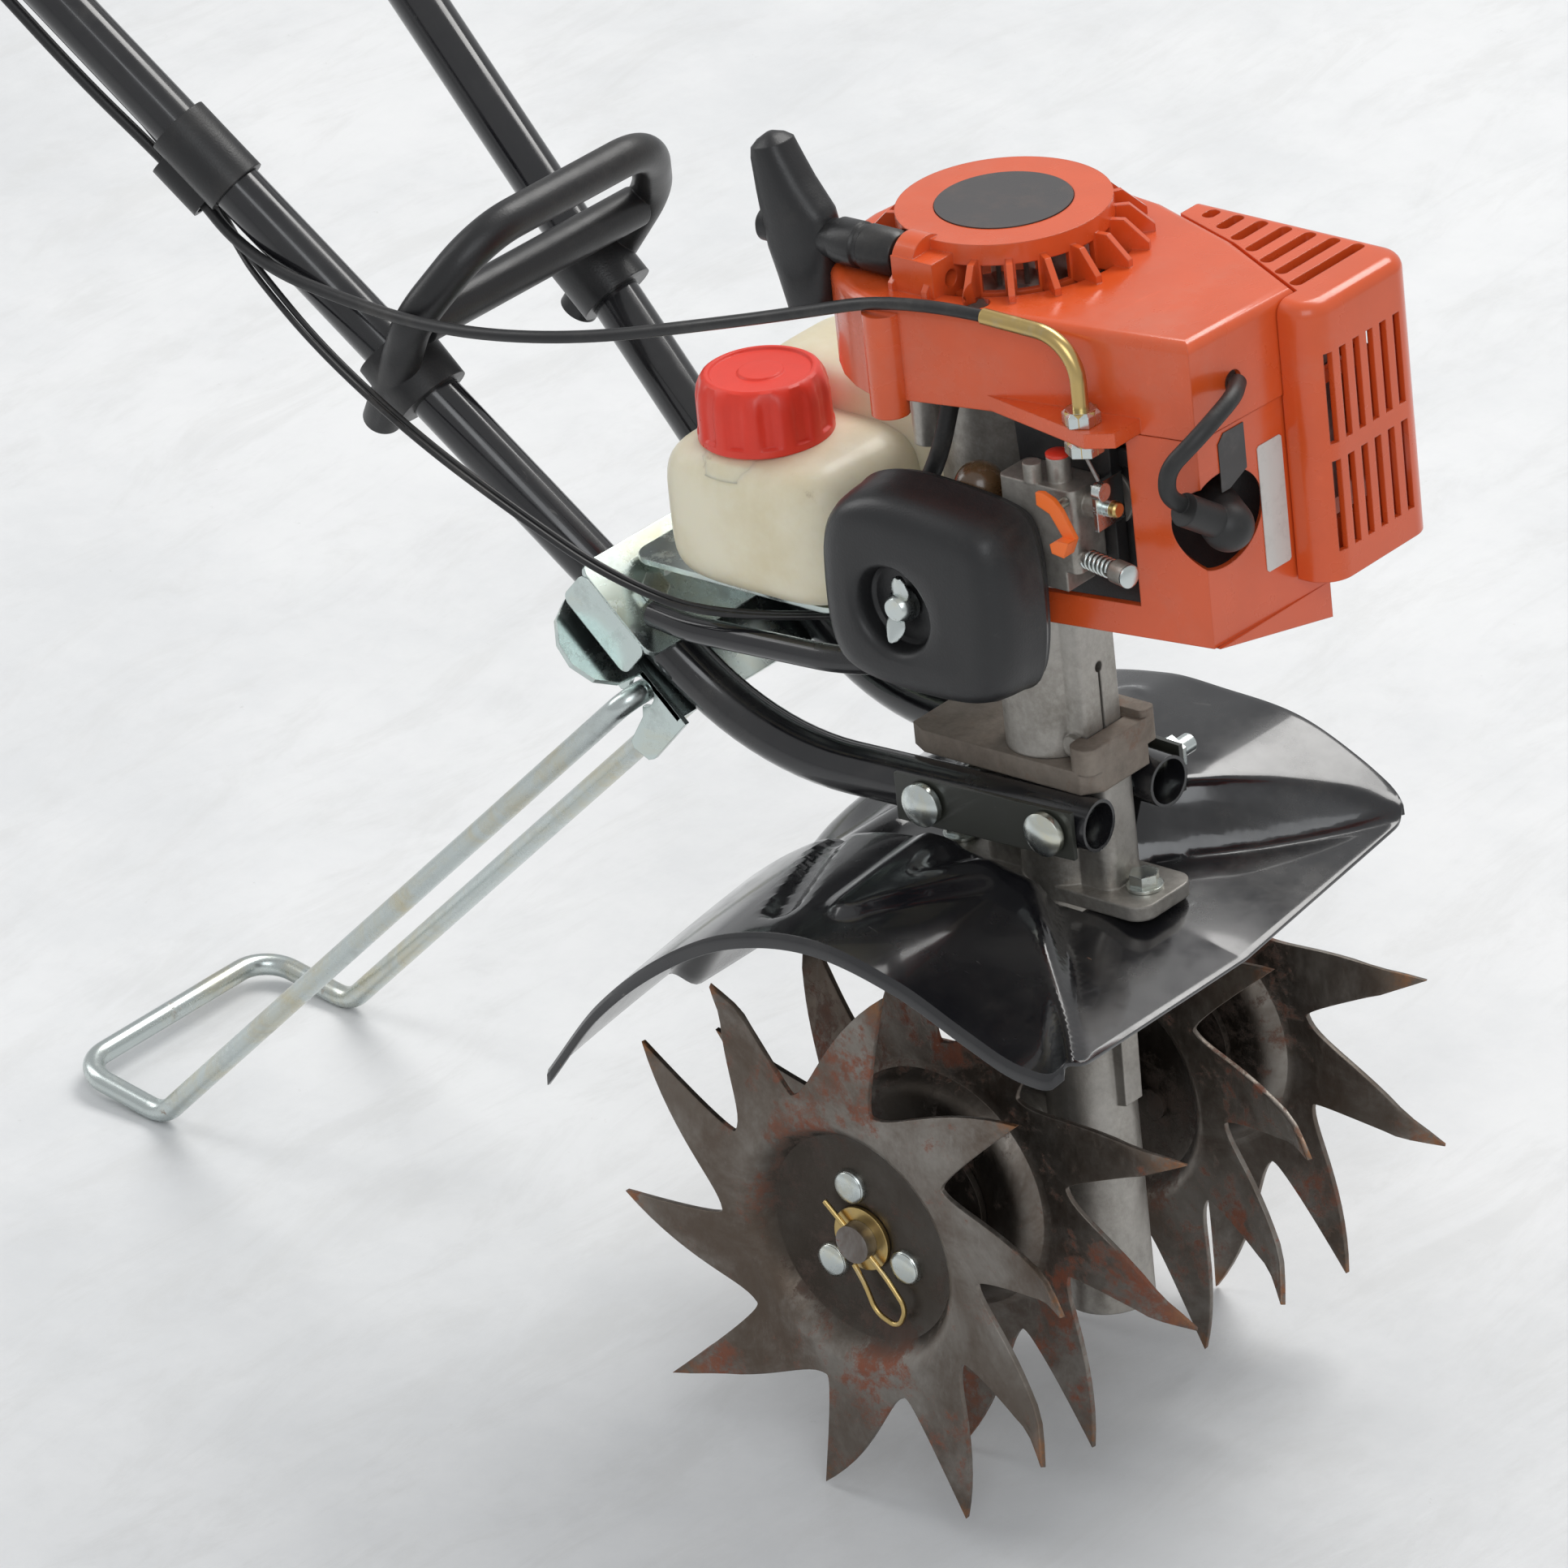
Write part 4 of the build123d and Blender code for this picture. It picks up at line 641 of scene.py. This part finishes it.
# -------- fender
GUARD_BACK, GUARD_FRONT, GUARD_HALF = -149.0, 124.0, 110.0
FLAT_FROM = 50.0                          # the flat front starts here
FLAT_LONG = GUARD_FRONT - FLAT_FROM
ROLLED = {111.2: 2.0, 111.6: 6.5}         # distance from the middle, and how far the side has dropped there
NEAR_EDGE = ((-149, 40), (-118, 77), (-80, 108), (-42, 128), (0, 136), (42, 129), (75, 116), (98, 108),
             (124, 107))
FAR_EDGE = ((-149, 58), (-118, 94), (-80, 126), (-42, 146), (3, 156), (30, 156), (68, 153), (98, 141),
            (124, 125))
MIDDLE = ((-149, 38), (-118, 77), (-80, 110), (-60, 124), (-46, 121.6), (64, 121.4), (90, 117), (124, 110))


def knots(table, x):
    """Smooth value of a profile given as (x, z) knots."""
    for number in range(len(table) - 1):
        (x0, z0), (x1, z1) = table[number], table[number + 1]
        if x <= x1:
            before = table[max(0, number - 1)]
            after = table[min(len(table) - 1, number + 2)]
            slope0 = (z1 - before[1]) / (x1 - before[0])
            slope1 = (after[1] - z0) / (after[0] - x0)
            span = x1 - x0
            s = max(0.0, (x - x0) / span)
            return ((2 * s**3 - 3 * s**2 + 1) * z0 + (s**3 - 2 * s**2 + s) * span * slope0
                    + (3 * s**2 - 2 * s**3) * z1 + (s**3 - s**2) * span * slope1)
    return table[-1][1]


def step_between(value, low, high):
    """Smooth step from 0 to 1."""
    share = min(1.0, max(0.0, (value - low) / (high - low)))
    return share * share * (3.0 - 2.0 * share)


def distance_to_line(x, y, start, end):
    """Distance in the plane from a point to a straight stretch."""
    along = (end[0] - start[0], end[1] - start[1])
    share = ((x - start[0]) * along[0] + (y - start[1]) * along[1]) / (along[0] ** 2 + along[1] ** 2)
    share = min(1.0, max(0.0, share))
    return math.hypot(x - start[0] - along[0] * share, y - start[1] - along[1] * share)


def fender_height(x, y):
    """Top of the pressed guard: arched wings, a flat middle, a flat front and stiffening grooves."""
    wide = abs(y)
    share = (y + GUARD_HALF) / (2.0 * GUARD_HALF)
    arch = 5.0 * (1.0 - (y / GUARD_HALF) ** 2)
    wing = knots(NEAR_EDGE, x) * (1.0 - share) + knots(FAR_EDGE, x) * share + arch
    ridge = 28.0 + max(0.0, x - FLAT_FROM) * 82.0 / FLAT_LONG
    blend = step_between(wide, ridge - 9.5, ridge + 9.5)
    lift = max(0.0, y / GUARD_HALF) * max(0.0, x - FLAT_FROM) / FLAT_LONG
    height = knots(MIDDLE, x) * (1.0 - blend) + wing * blend + 16.0 * lift * (1.0 - blend)
    if x > FLAT_FROM:
        height += 2.5 * math.exp(-((wide - ridge) / 6.0) ** 2) * step_between(x, FLAT_FROM, 66.0)
    groove = distance_to_line(x, wide, (-30.0, 92.0), (-50.0, 36.0))
    height -= 4.0 * (1.0 - step_between(groove, 3.0, 9.0))
    press = max(distance_to_line(x, wide, (0.0, 85.0), (5.0, 30.0)) - 5.0, 0.0)
    side = max(distance_to_line(x, wide, (0.0, 85.0), (32.0, 44.0)) - 4.0, 0.0)
    height += 2.6 * (1.0 - step_between(min(press, side), 0.0, 6.0))
    return height


def fender():
    """Pressed sheet guard with rounded front corners and rolled sides, open over the gearcase."""
    lengthwise, crosswise = 92, 84
    length, corner = GUARD_FRONT - GUARD_BACK, 14.0
    corner_ahead, corner_out = GUARD_FRONT - corner, GUARD_HALF - corner
    points = []
    faces = []
    edges = [-GUARD_HALF + 2.0 * GUARD_HALF * number / crosswise for number in range(crosswise + 1)]
    edges = [-out for out in sorted(ROLLED, reverse=True)] + edges + sorted(ROLLED)
    for row in range(lengthwise + 1):
        for y_flat in edges:
            x = GUARD_BACK + length * row / lengthwise
            y = min(GUARD_HALF, max(-GUARD_HALF, y_flat))
            u, v = (x - corner_ahead) / corner, (abs(y) - corner_out) / corner
            if u > 0 and v > 0:
                x = corner_ahead + corner * u * math.sqrt(1.0 - v * v / 2.0)
                y = math.copysign(corner_out + corner * v * math.sqrt(1.0 - u * u / 2.0), y)
            drop = ROLLED.get(abs(y_flat), 0.0)
            spread = abs(y_flat) - min(GUARD_HALF, abs(y_flat))
            points.append((x, y + math.copysign(spread, y), fender_height(x, y) - drop))
    per = len(edges)
    for row in range(lengthwise):
        middle_x = GUARD_BACK + length * (row + 0.5) / lengthwise
        for column in range(per - 1):
            if abs(edges[column] + edges[column + 1]) / 2.0 < 19.0 and -11.0 < middle_x < 58.0:
                continue                # the gearcase comes up through here
            here, there = row * per + column, (row + 1) * per + column
            faces.append((here, there, there + 1, here + 1))
    sheet = add_mesh("visual_fender", points, faces, "black_paint", "frame", ["fender"])
    solidify(sheet, 0.0018, -1.0, 0.0003)


fender()


# -------- starter grip
# (x, z, half width, half depth) down the bar of the grip
GRIP_SPINE = ((-38.0, 440.0, 6.5, 7.5), (-36.5, 432.0, 9.0, 8.6), (-32.5, 420.0, 12.0, 9.4),
              (-27.5, 408.0, 16.0, 9.8), (-25.5, 398.0, 16.5, 9.8), (-24.5, 387.0, 14.0, 9.4),
              (-24.0, 376.0, 11.5, 8.8), (-24.5, 366.5, 9.0, 7.8))
GRIP_NECK = ((5.0, -23.0), (7.2, -21.0), (7.4, 4.0), (7.9, 14.0), (9.0, 16.0), (9.1, 26.0), (8.2, 27.0),
             (8.2, 29.0), (9.1, 30.0), (9.1, 43.5), (8.0, 45.5), (2.4, 45.9))


def oval(centre, first, second, wide, deep, power=2.6, count=36):
    """A rounded ring of points about a centre."""
    ring = []
    for step in range(count):
        angle = 2.0 * math.pi * step / count
        c, s = math.cos(angle), math.sin(angle)
        reach = (abs(c) ** power + abs(s) ** power) ** (-1.0 / power)
        ring.append(Vector(centre) + first * (c * reach * wide) + second * (s * reach * deep))
    return ring


def pull_handle():
    """Curved grip bar and the round neck that sits in the rope guide."""
    wide_way, deep_way = Vector((0.97, 0, 0.24)), Vector((0, 1, 0))
    rings = []
    count = 28
    for step in range(count + 1):
        place_on = step / count * (len(GRIP_SPINE) - 1)
        low = min(int(place_on), len(GRIP_SPINE) - 2)
        share = place_on - low
        share = share * share * (3 - 2 * share) * 0.4 + share * 0.6
        x, z, wide, deep = [a + (b - a) * share for a, b in zip(GRIP_SPINE[low], GRIP_SPINE[low + 1])]
        squeeze = min(1.0, math.sqrt(max(0.04, min(step, count - step) / 2.0)))
        rings.append(oval((x, ROPE_Y, z), wide_way, deep_way, wide * squeeze, deep * squeeze))
    loft("visual_grip_bar", rings, "black_plastic", "pull_grip", ["starter_grip"])
    lathe("visual_grip_neck", (-23.0, ROPE_Y, ROPE_Z), (1, 0, 0), GRIP_NECK, "black_plastic", "pull_grip",
          replaces=["starter_grip"])


pull_handle()


# -------- air filter cover
KNOB = Vector((44.0, 0.0, 278.6))
COVER_CORNERS = ((3, 262), (8, 327), (88, 324), (98.5, 312), (98.5, 264), (88, 241), (17, 241))
COVER_SIDE = ((66.4, 0.0), (68.0, -0.6), (70.0, 0.0), (78.0, 0.6), (84.0, 1.4), (88.0, 2.8), (90.8, 5.0),
              (92.6, 8.0), (93.6, 12.0), (93.9, 16.0))          # (depth, inset) from rim to face
COVER_RECESS = ((18.8, 93.2), (17.8, 92.0), (17.2, 89.0), (16.9, 84.6), (15.5, 83.4), (8.0, 83.2),
                (3.2, 83.2))                                    # (radius, depth) into the knob well


def cover_outline(count=96, rounds=4):
    """Middle of the cover, and spokes from it to the outline once its corners are cut round."""
    points = [Vector((x, 0.0, z)) for x, z in COVER_CORNERS]
    for _ in range(rounds):
        cut = []
        for number, here in enumerate(points):
            after = points[(number + 1) % len(points)]
            cut += [here * 0.75 + after * 0.25, here * 0.25 + after * 0.75]
        points = cut
    middle = sum(points, Vector()) / len(points)
    spokes = []
    for step in range(count):
        angle = 2.0 * math.pi * step / count
        ray = Vector((math.cos(angle), 0.0, math.sin(angle)))
        nearest = sorted(points, key=lambda point: -(point - middle).normalized().dot(ray))[:2]
        first, second = nearest[0] - middle, nearest[1] - middle
        cross = first.x * (second.z - first.z) - first.z * (second.x - first.x)
        spoke = ray.x * (second.z - first.z) - ray.z * (second.x - first.x)
        reach = cross / spoke if abs(spoke) > 1e-6 else first.length
        spokes.append(ray * reach)
    return middle, spokes


MIDPOINT, SPOKES = cover_outline()


def inset_rings(levels):
    """Rings of the cover outline at (depth, inset) levels."""
    return [[MIDPOINT + spoke * (1.0 - inset / spoke.length) + Vector((0, -depth, 0)) for spoke in SPOKES]
            for depth, inset in levels]


def filter_cover():
    """Soft rounded-square cover with a deep round recess for the wing nut."""
    shift = KNOB - MIDPOINT
    rings = inset_rings(COVER_SIDE)
    face = [spoke * (1.0 - 16.0 / spoke.length) for spoke in SPOKES]
    for share, depth in ((0.35, 94.0), (0.7, 94.0), (1.0, 93.8)):
        ring = []
        for spoke in face:
            rim = spoke.normalized() * 20.0 + shift
            ring.append(MIDPOINT + spoke * (1.0 - share) + rim * share + Vector((0, -depth, 0)))
        rings.append(ring)
    for radius, depth in COVER_RECESS:
        rings.append([KNOB + spoke.normalized() * radius + Vector((0, -depth, 0)) for spoke in SPOKES])
    loft("visual_filter_cover", rings, "black_plastic", "frame", ["filter_cover"])


filter_cover()


def filter_inside():
    """Backing plate and foam of the filter, inside the rim of its cover."""
    base = inset_rings(((62.3, 2.6), (63.0, 1.6), (66.5, 1.6)))
    loft("visual_filter_base", base, "black_plastic", "frame", ["filter_base"])
    element = inset_rings(((66.7, 7.0), (82.0, 8.0)))
    loft("visual_filter_element", element, "foam", "frame", ["filter_element"])


filter_inside()


def wing_nut():
    """Pressed zinc wing nut: a turned hub with two rounded ears."""
    hub = ((6.2, 83.6), (6.6, 84.2), (6.6, 87.5), (5.6, 90.5), (4.4, 92.0), (0.01, 92.0))
    lathe("visual_wing_hub", KNOB, (0, -1, 0), hub, "zinc", "filter_nut", replaces=["wing_nut"])
    for side, name in ((-1, "low"), (1, "high")):
        rings = []
        for step in range(11):
            share = step / 10.0
            reach = 3.0 + 11.0 * share
            wide = (2.8 + 1.8 * math.sin(math.pi * min(1.0, share * 1.15))) * (1.0 if step < 10 else 0.45)
            centre = KNOB + Vector((0.24 * side * reach, -88.2 - 2.6 * share, side * reach))
            rings.append(oval(centre, Vector((0.97, 0, -0.24)), Vector((0, 1, 0)), wide, 1.5, 2.2, 20))
        loft("visual_wing_%s" % name, rings, "zinc", "filter_nut", ["wing_nut"])


wing_nut()


# -------- fuel tank and cap
def boxier(value, power=4.6):
    """A sine or cosine pushed outwards, which turns a ball into a soft-cornered block."""
    return math.copysign(abs(value) ** (2.0 / power), value)


def tank_body(name, low, high):
    """A blow-moulded block: bulging faces and large soft corners."""
    middle = [(a + b) / 2.0 for a, b in zip(low, high)]
    half = [(b - a) / 2.0 for a, b in zip(low, high)]
    rings = []
    levels, steps = 26, 72
    for level in range(1, levels):
        angle = math.pi * (level / levels - 0.5)
        height = middle[2] + boxier(math.sin(angle)) * half[2]
        size = boxier(math.cos(angle))
        ring = []
        for step in range(steps):
            spin = 2.0 * math.pi * step / steps
            x = boxier(math.cos(spin)) * half[0] * size
            y = boxier(math.sin(spin)) * half[1] * size
            ring.append((middle[0] + x, middle[1] + y, height))
        rings.append(ring)
    loft(name, rings, "tank_plastic", "frame", ["fuel_tank"])


tank_body("visual_tank_near", (-110.3, -56.4, 240.0), (-19.7, 20.0, 301.5))
tank_body("visual_tank_far", (-110.3, 2.0, 240.0), (6.0, 62.3, 318.5))
NECK = ((30.0, 292.0), (27.5, 297.5), (23.5, 300.0), (21.2, 301.5), (21.0, 304.0))
lathe("visual_tank_neck", (CAP_X, CAP_Y, 0.0), UP, NECK, "tank_plastic", "frame", replaces=["fuel_tank"])


# (radius, height, share of the grip ribs) from the skirt to the middle of the top
CAP_PROFILE = ((26.2, 300.8, 0.0), (26.8, 301.4, 0.0), (26.8, 304.0, 0.0), (25.9, 305.0, 1.0),
               (25.7, 318.0, 1.0), (25.0, 322.0, 0.9), (24.3, 324.5, 0.35), (23.2, 326.6, 0.0),
               (21.8, 327.4, 0.0), (20.4, 327.3, 0.0), (19.8, 326.4, 0.0), (18.6, 326.2, 0.0),
               (9.4, 326.2, 0.0), (8.6, 327.0, 0.0), (0.01, 327.1, 0.0))


def fuel_cap():
    """Moulded cap with twelve broad grip ribs, a skirt and a raised rim on top."""
    rings = []
    for radius, height, ribbed in CAP_PROFILE:
        ring = []
        for step in range(144):
            angle = 2.0 * math.pi * step / 144
            reach = radius + math.tanh(3.0 * math.cos(12.0 * angle)) * 0.75 * ribbed
            ring.append((CAP_X + reach * math.cos(angle), CAP_Y + reach * math.sin(angle), height))
        rings.append(ring)
    loft("visual_fuel_cap", rings, "red_plastic", "cap", ["fuel_cap"])


fuel_cap()


# -------- stand bracket
def stand_bracket():
    """Zinc pressing under the tubes: rounded ears, and wings with a notch for the stand wire."""
    thick = 2.4
    leftward = Vector((0.0, 1.0, 0.0))
    ear = [(5.0, 49.0), (6.0, 62.0), (12.0, 71.0), (22.0, 75.5), (32.0, 74.0), (41.0, 67.0), (46.0, 57.0),
           (47.0, 49.0)]
    sheet = [(-18.7, -49.0), (-18.7, 49.0)] + ear + [(along, -out) for along, out in reversed(ear)]
    pieces = [plate("visual_bracket_sheet", STAND_HINGE + SLOPE_N * 8.0, SLOPE_X, leftward, sheet, thick,
                    "bracket_zinc", "frame")]
    notch = []
    for step in range(13):
        angle = math.radians(-50.0 + 280.0 * step / 12)
        notch.append((6.4 * math.cos(angle), 6.4 * math.sin(angle)))
    wing = [(-22.0, 8.0), (36.0, 8.0), (36.0, -6.0), (34.0, -8.5), (7.0, -8.5)] + notch
    wing += [(-7.0, -8.5), (-10.0, -23.0), (-13.0, -24.5), (-20.5, -22.0), (-22.0, -19.0)]
    for side, name in ((-1, "near"), (1, "far")):
        foot = STAND_HINGE + leftward * (side * 49.0 + (0.0 if side < 0 else -thick))
        pieces.append(plate("visual_bracket_wing_" + name, foot, SLOPE_X, SLOPE_N, wing, thick,
                            "bracket_zinc", "frame"))
    for piece in pieces:
        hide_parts("stand_bracket")


stand_bracket()


# -------- small engine hardware
def screw(name, origin, axis, radius, height, material="zinc", sides=32):
    """A fastener head with a chamfered rim."""
    profile = ((radius * 0.96, 0.0), (radius, 0.3), (radius, height * 0.75), (radius * 0.82, height),
               (0.01, height))
    piece = lathe(name, origin, axis, profile, material, "frame", sides=sides)
    return piece


coil("visual_idle_spring", (114.0, -58.4, 302.0), (128.0, -61.2, 302.0), 3.5, 6.0, 0.7, "zinc", "frame")
screw("visual_idle_head", (136.6, -63.0, 302.0), (1, -0.2, 0), 4.6, 1.6)
screw("visual_pump_screw", (76.0, -53.0, 312.0), UP, 3.6, 2.6)
screw("visual_pivot_barrel", (122.5, -52.0, 322.0), (1, 0, 0), 3.2, 3.6, "brass")
for low in (346.4, 358.5):
    screw("visual_adjuster_nut_%d" % low, (117.0, -58.0, low), UP, 7.5, 5.9, "zinc", 6)
screw("visual_limit_cap_low", (100.0, -54.0, 339.8), UP, 4.7, 1.8, "red_plastic")


def choke_lever():
    """Thin angular lever with a raised finger tab, on a zinc pin."""
    tab = ((118.2, 315.4), (115.2, 308.8), (109.6, 309.6), (108.9, 313.2), (112.0, 315.2))
    arm = ((100.6, 331.0), (104.0, 331.6), (109.0, 329.6), (112.6, 325.6)) + tab
    arm += ((106.6, 323.4), (100.6, 325.8))
    for name, outline, depths in (("visual_choke_arm", arm, (-67.4, -69.4)),
                                  ("visual_choke_tab", tab, (-69.2, -73.6))):
        rings = [[(x, depth, z) for x, z in outline] for depth in depths]
        loft(name, rings, "orange_lever", "choke", ["choke_lever"])
    lathe("visual_choke_pivot", CHOKE_HINGE, (0, -1, 0), ((2.0, 0.0), (2.0, 5.2)), "zinc", "choke",
          replaces=["choke_lever"])


def plug_shade_sheet():
    """Painted shade: a dark sheet behind the spark plug, seen through the round opening."""
    outline = ((-23.0, -44.0), (23.0, -44.0), (23.0, 27.0), (-23.0, 27.0))
    # painted shade: black sheet that makes the space behind the plug read dark
    shade_sheet = plate("visual_plug_baffle", PLUG_ROOT + PLUG_OUT * 9.0, (-PLUG_OUT.y, PLUG_OUT.x, 0.0), UP,
                   outline, 1.2, "black_plastic", "frame")


def heat_shield():
    """Black sheet behind the carburettor, with its two screws."""
    outline = ((72.0, 272.0), (134.0, 272.0), (134.0, 300.0), (129.0, 340.0), (120.0, 350.0), (66.0, 350.0))
    points = [(x, -35.0, z) for x, z in outline]
    shield = add_mesh("visual_heat_shield", points, [tuple(range(len(outline)))], "black_plastic", "frame")
    solidify(shield, 0.0012, 0.0, 0.0002)
    for x, z in ((92.0, 338.0), (118.0, 336.0)):
        screw("visual_shield_screw_%d" % x, (x, -35.8, z), (0, -1, 0), 4.2, 2.4, "black_plastic")


def stickers():
    """Plain stickers in place of the printed ones, on the front of the side cover."""
    corner = Vector((157.1, -41.0, 0.0))
    rightward = Vector((2.0, 68.0, 0.0)).normalized()
    hexagon = ((-7.5, -11.5), (-3.0, -11.5), (7.5, -7.0), (7.5, 11.5), (-4.0, 11.5), (-7.5, 8.0))
    box = ((-6, -26), (6, -26), (7, -25), (7, 25), (6, 26), (-6, 26), (-7, 25), (-7, -25))
    for tone, offset, height, outline in (("dark", 19.0, 338.5, hexagon), ("white", 40.0, 311.0, box)):
        spot = corner + rightward * offset + Vector((0.0, 0.0, height))
        sticker = plate("visual_%s_sticker" % tone, spot, rightward, UP, outline, 0.35,
                        tone + "_label", "frame")


choke_lever()
plug_shade_sheet()
heat_shield()
stickers()


# -------- cables that cross the fold joint
GRIP_LOW = Vector((-765.0, -200.7, 815.7))
GRIP_HIGH = Vector((-902.0, -224.0, 872.0))
GRIP_WAY = (GRIP_HIGH - GRIP_LOW).normalized()
GRIP_BELOW = Vector((-GRIP_WAY.z, 0.0, GRIP_WAY.x)).normalized()
MOUTH = GRIP_HIGH - GRIP_WAY * 130.9          # where the cables enter the throttle housing


def tube_run(clip_y, clip_n, lift, y_shift):
    """Cable points from the clip up along the underside of the right tube."""
    points = []
    for distance in (-10.0, 16.0):
        spot = along_tube(-1, CLIP_AT + distance) + SLOPE_N * (clip_n - 17.5)
        points.append((spot.x, spot.y + clip_y, spot.z))
    for number, distance in enumerate((58.0, 120.0, 180.0, 240.0, 300.0, 360.0, 420.0)):
        wobble = 0.8 if number % 2 else -0.8
        spot = along_tube(-1, CLIP_AT + distance) + SLOPE_N * lift
        points.append((spot.x, spot.y + y_shift + wobble, spot.z))
    return points


def throttle_route():
    """From the elbow at the carburettor, along the handlebar, to the throttle housing."""
    route = [(75.5, -61.1, 394.6), (40, -67, 397), (-14, -70, 380), (-60, -71, 366), (-112, -76, 352),
             (-160, -82, 345), (-205, -80, 341), (-245, -77, 342), (-275, -78.5, 347), (-302, -74.5, 355)]
    route += tube_run(-2.3, 0.0, -18.6, -3.0)
    route += [(-680.0, -130.0, 710.0), (-728.0, -164.0, 757.0), (-757.0, -186.0, 784.0)]
    return route + [tuple(MOUTH + GRIP_BELOW * 22)]


def wire_route(gap):
    """From under the tank to the stop switch; gap sets a wire beside its neighbour."""
    route = [(-30, -22 - gap, 231.5), (-76, -57 - gap, 232), (-122, -67 - gap, 244),
             (-162, -74 - gap, 266), (-205, -81 - gap, 292), (-250, -82 - gap, 320),
             (-289 - 0.3 * gap, -74.5 - 0.5 * gap, 344 - 0.8 * gap),
             (-306 - 0.4 * gap, -67, 350 - 0.9 * gap)]
    route += tube_run(3.0, 1.6 - gap, -16.9, 4.0 + gap)
    route += [(-678.0, -121.5 + gap, 712.0),
              (-728.8 - 0.3 * gap, -158.8 + 0.9 * gap, 760.0 + 0.3 * gap),
              (-758.3 - 0.3 * gap, -180.5 + 0.9 * gap, 787.6 + 0.3 * gap)]
    return route + [tuple(MOUTH - GRIP_WAY * 0.7 + GRIP_BELOW * 20 + Vector((0, 4.2 + gap * 0.9, 0)))]


def cables():
    """Throttle cable and two switch wires, routed past where the handlebar folds."""
    throttle = add_cable("visual_throttle_cable", throttle_route(), 2.5, "cable")
    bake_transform(throttle)
    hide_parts("throttle_cable")
    for number, gap in enumerate((0.0, 3.2)):
        wire = add_cable("visual_wire_%d" % (number + 1), wire_route(gap), 1.25, "cable")
        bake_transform(wire)
        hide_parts("ignition_wires")


def starter_rope():
    """The rope, a straight run from its guide into the grip."""
    lean = math.radians(12.0)
    pull = Vector((-math.cos(lean), 0.0, math.sin(lean)))
    guide = Vector((23.4, ROPE_Y, ROPE_Z))
    points = [tuple(guide + pull * (-17.0 + 41.5 * step / 12)) for step in range(13)]
    rope = add_cable("visual_starter_rope", points, 1.8, "rope")
    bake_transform(rope)
    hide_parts("starter_rope")


cables()
starter_rope()


# -------- stage, light and camera
def studio_floor():
    """Pale studio ground with faint wiped streaks, at the height the stand rests on."""
    bpy.ops.mesh.primitive_plane_add(size=14.0, location=(0, 0, 0))
    floor = bpy.context.object
    floor.name = "studio_floor"
    paint = Paint("studio_floor")
    cloud = paint.span(paint.noise(3.0, 8.0, 0.7), 0.35, 0.7)
    tone = paint.mix(cloud, (0.80, 0.805, 0.81), (0.69, 0.70, 0.71))
    specks = paint.span(paint.noise(60.0, 8.0, 0.8), 0.64, 0.72, 0.0, 0.4)
    tone = paint.mix(specks, tone, (0.42, 0.41, 0.38))
    brushed = paint.noise(26.0, 8.0, 0.75, (1.0, 0.3, 1.0), 0.6)
    tone = paint.mix(paint.span(brushed, 0.46, 0.66, 0.0, 0.3), tone, (0.62, 0.62, 0.61))
    paint.bump(paint.noise(90.0, 6.0, 0.65, (1.0, 0.35, 1.0)), 0.35, 0.0012)
    floor.data.materials.append(paint.finish(tone, 0.42))
    floor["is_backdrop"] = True


def sky():
    """Even, slightly cool light from all around."""
    world = bpy.data.worlds.new("studio")
    bpy.context.scene.world = world
    world.use_nodes = True
    background = world.node_tree.nodes["Background"]
    background.inputs["Color"].default_value = (0.97, 0.985, 1.0, 1.0)
    background.inputs["Strength"].default_value = 0.57


def soft_light(name, location, target, size, power, colour):
    """Rectangular area light aimed at a point."""
    data = bpy.data.lights.new(name, "AREA")
    data.shape = "RECTANGLE"
    data.size, data.size_y = size
    data.energy = power
    data.color = colour
    lamp = in_scene(name, data)
    lamp.location = location
    lamp.rotation_euler = (Vector(target) - Vector(location)).to_track_quat("-Z", "Y").to_euler()


def photo_camera():
    """Camera solved from the photograph."""
    data = bpy.data.cameras.new("camera")
    data.lens = 250.57
    data.sensor_width = 36.0
    data.clip_end = 60.0
    camera = in_scene("camera", data)
    azimuth = math.radians(41.150)
    elevation = math.radians(29.2825)
    roll = math.radians(-2.2416)
    level = math.cos(elevation)
    back = Vector((math.sin(azimuth) * level, -math.cos(azimuth) * level, math.sin(elevation)))
    right = Vector((math.cos(azimuth), math.sin(azimuth), 0.0))
    up = back.cross(right)
    right, up = (right * math.cos(roll) + up * math.sin(roll), up * math.cos(roll) - right * math.sin(roll))
    target = Vector((0.29629, 0.0, 0.23747))
    turn = Matrix((right, up, back)).transposed()
    camera.matrix_world = Matrix.Translation(target + back * 4.3287) @ turn.to_4x4()
    bpy.context.scene.camera = camera


studio_floor()
sky()
soft_light("key", (0.2, 1.6, 2.6), (0.3, 0.0, 0.2), (1.8, 1.2), 47.0, (1.0, 0.99, 0.97))
soft_light("fill", (1.9, -1.6, 1.9), (0.3, 0.0, 0.2), (1.4, 1.4), 16.0, (0.94, 0.97, 1.0))
soft_light("rim", (-2.0, -0.6, 1.6), (0.2, 0.0, 0.3), (1.0, 1.8), 14.0, (1.0, 1.0, 1.0))
photo_camera()
bpy.context.scene.view_settings.view_transform = "Standard"

low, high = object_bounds()
